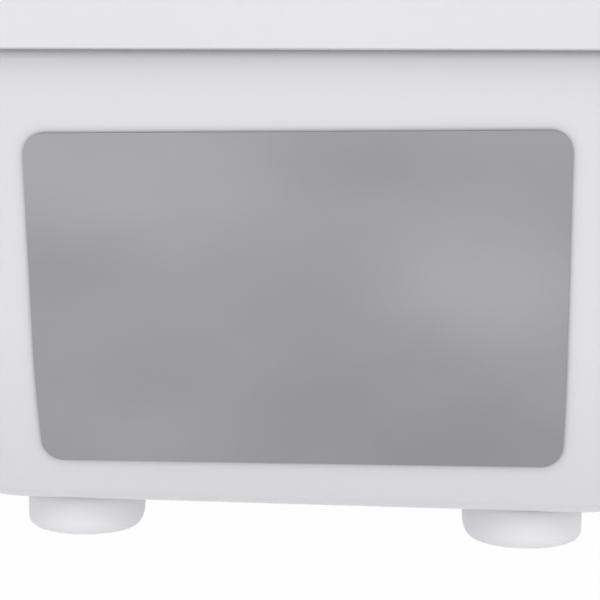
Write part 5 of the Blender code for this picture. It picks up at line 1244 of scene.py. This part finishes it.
moved(ring, shift(rocker_x, long * ring_at, rocker_top(ring_at) - mark_depth))
dressed(moved(together(bar, ring), axes), print_white, "rocker", slot=False).name = "rocker_marks"


# Water tank and its cap


def tank_outline(inset):
    return bay_outline(-tank_gap - inset)


low = bay_floor + tank_gap / 2
levels = [(inset, low + rise) for inset, rise in round_foot(tank_edge, 5)]
levels += [(inset, tank_top - drop) for drop, inset in round_foot(tank_edge, 5)]
tank = loft("tank_vessel", stack(tank_outline, levels))
cut(tank, flat("inside", tank_outline(tank_wall), low + tank_wall, tank_top - tank_wall))
filler_middle, filler_corner, cap_corner = (0.0, (filler_rear + filler_front) / 2), 0.002, 0.0025
filler = rounded(filler_half_width, (filler_rear - filler_front) / 2, filler_corner, filler_middle, 8)
cut(tank, flat("filler", filler, tank_top - tank_wall - overrun / 2, tank_top + overrun))
cut(tank, upright("outlet", tank_valve_x, tank_valve_y, low - overrun, low + overrun,
                  tank_valve_radius / 2 + seat_gap))
dressed(tank, clear_blue, "tank", "water_tank")

cap_low, cap_rear, cap_front = tank_top + seat_gap, filler_rear + cap_margin, filler_front - cap_margin
cap_high, wide = cap_low + cap_thickness, filler_half_width + cap_margin
outline = rounded(wide, (cap_rear - cap_front) / 2, cap_corner, (0.0, (cap_front + cap_rear) / 2), 10)
lid = eased(flat("tank_lid", outline, cap_low, cap_high), cap_edge)
cap_groove_start, cap_groove_pitch, cap_groove_half = 0.0006, 0.0018, 0.005
cap_groove_radius, cap_groove_rise = 0.00045, 0.0001
for i in range(3):
    y = filler_front + cap_groove_start + i * cap_groove_pitch
    cut(lid, crosswise("groove", -cap_groove_half, cap_groove_half, y, cap_high + cap_groove_rise,
                       cap_groove_radius, groove_sides))
join(lid, crosswise("knuckle", -wide, wide, cap_rear, cap_low + cap_thickness / 2, cap_thickness / 2))
dressed(lid, grey_shell, "cap", "tank_cap")


# Materials of the CAD nodes that stay, by the starts of their names

kept = (
    (steel, ("base_frame", "hinge_bracket", "hinge_shaft", "balance_spring", "foot_screw", "arm_frame",
             "board_bracket", "plate_yoke", "plate_pivot_pin", "heating_element", "heat_shield", "handle_bar")),
    (aluminium, ("steam_chamber_lid",)), (brass, ("hinge_bush", "thermal_fuse", "steam_valve")),
    (black_plastic, ("thermostat", "tank_valve", "tank_socket", "water_pump")), (grey_shell, ("board_pan",)),
    (green_board, ("power_board", "control_board")), (hose_clear, ("water_hose",)))
for name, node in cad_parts.items():
    for paint, starts in kept:
        if name.startswith(starts) and not node.hide_render:
            node.data.materials.clear()
            node.data.materials.append(paint.material)
            node.data.shade_smooth()
            node.data.set_sharp_from_angle(angle=radians(38.0))


# Lamps, world, floor and camera

# Each lamp's place, aim, size and power
lamps = {
    "rear_lamp": ((0.1, 1.7, 2.2), (0.0, 0.15, 0.08), (2.0, 1.4), 26.0),
    "low_lamp": ((-1.5, 1.2, 0.60), (0.0, 0.17, 0.03), (1.4, 0.8), 6.0),
    "left_lamp": ((1.5, 1.2, 0.60), (0.0, 0.17, 0.03), (1.4, 0.8), 3.5),
    "top_lamp": ((0.2, 0.3, 2.4), (0.0, 0.05, 0.1), (2.2, 2.2), 7.0),
    "front_lamp": ((0.6, -2.2, 1.5), (0.0, 0.0, 0.15), (1.8, 1.4), 18.0),
}
for name, (spot, aim, size, power) in lamps.items():
    data = bpy.data.lights.new(name, "AREA")
    data.shape, data.energy = "RECTANGLE", power
    data.size, data.size_y = size
    lamp = place(name, data)
    lamp.location = spot
    lamp.rotation_euler = (Vector(aim) - Vector(spot)).to_track_quat("-Z", "Y").to_euler()
    lamp.visible_glossy = False  # like a lamp behind a diffuser, it leaves no glare

white = (1.0, 1.0, 1.0)
world_light, floor_light, floor_glow = 0.41, 0.37, 0.985
floor_size, floor_drop = 6.0, 0.0002  # a little under the soles, so that no two faces share a plane


def surfaced(tree, output, seen, lit):
    """Shows one shader to camera, mirrors and clear pieces, and lights the object with the other."""
    path = add_node(tree, "ShaderNodeLightPath").outputs
    share = path["Is Camera Ray"]
    for ray in ("Is Glossy Ray", "Is Transmission Ray"):
        share = add_node(tree, "ShaderNodeMath", {"operation": "MAXIMUM"}, share, path[ray]).outputs[0]
    mixed = add_node(tree, "ShaderNodeMixShader", (), share, lit.outputs[0], seen.outputs[0])
    add_node(tree, output, Surface=mixed.outputs[0])


def cleared(holder):
    holder.use_nodes = True
    holder.node_tree.nodes.clear()
    return holder.node_tree


world = bpy.context.scene.world = bpy.data.worlds.new("studio")
tree = cleared(world)
surfaced(tree, "ShaderNodeOutputWorld", add_node(tree, "ShaderNodeBackground", Color=white),
         add_node(tree, "ShaderNodeBackground", Color=white, Strength=world_light))

shape = bmesh.new()
bmesh.ops.create_grid(shape, x_segments=1, y_segments=1, size=floor_size)
floor = place("floor", mesh_of(shape, "floor"))
floor.location.z = -floor_drop
ground = bpy.data.materials.new("pale_floor")
tree = cleared(ground)
matt = add_node(tree, "ShaderNodeBsdfDiffuse", Color=(0.60, 0.60, 0.62))
under = add_node(tree, "ShaderNodeEmission", Color=(0.955, 0.94, 0.99), Strength=floor_light)
glow = add_node(tree, "ShaderNodeEmission", Color=white)
surfaced(tree, "ShaderNodeOutputMaterial",
         add_node(tree, "ShaderNodeMixShader", (), floor_glow, matt.outputs[0], glow.outputs[0]),
         add_node(tree, "ShaderNodeAddShader", (), matt.outputs[0], under.outputs[0]))
floor.data.materials.append(ground)

# The camera was fitted to the photo's edges; its focal length is in pixels of a 600-pixel frame
camera_place = (-0.02918, 0.54055, 0.0898)
camera_yaw, camera_pitch, camera_roll = radians(4.5523), radians(3.2911), radians(0.7384)
focal_pixels, frame_pixels, sensor_width = 1329.3, 600.0, 36.0
ahead = Vector((sin(camera_yaw) * cos(camera_pitch), -cos(camera_yaw) * cos(camera_pitch), -sin(camera_pitch)))
level = Vector((-cos(camera_yaw), -sin(camera_yaw), 0.0))
upward = level.cross(ahead)
right = level * cos(camera_roll) + upward * sin(camera_roll)
up = upward * cos(camera_roll) - level * sin(camera_roll)
lens = bpy.data.cameras.new("camera")
lens.sensor_width, lens.clip_start = sensor_width, 0.01
lens.lens = focal_pixels / frame_pixels * sensor_width
camera = place("camera", lens)
camera.matrix_world = shift(*camera_place) @ Matrix((right, up, -ahead)).transposed().to_4x4()
bpy.context.scene.camera = camera
bpy.context.scene.view_settings.view_transform = "Standard"
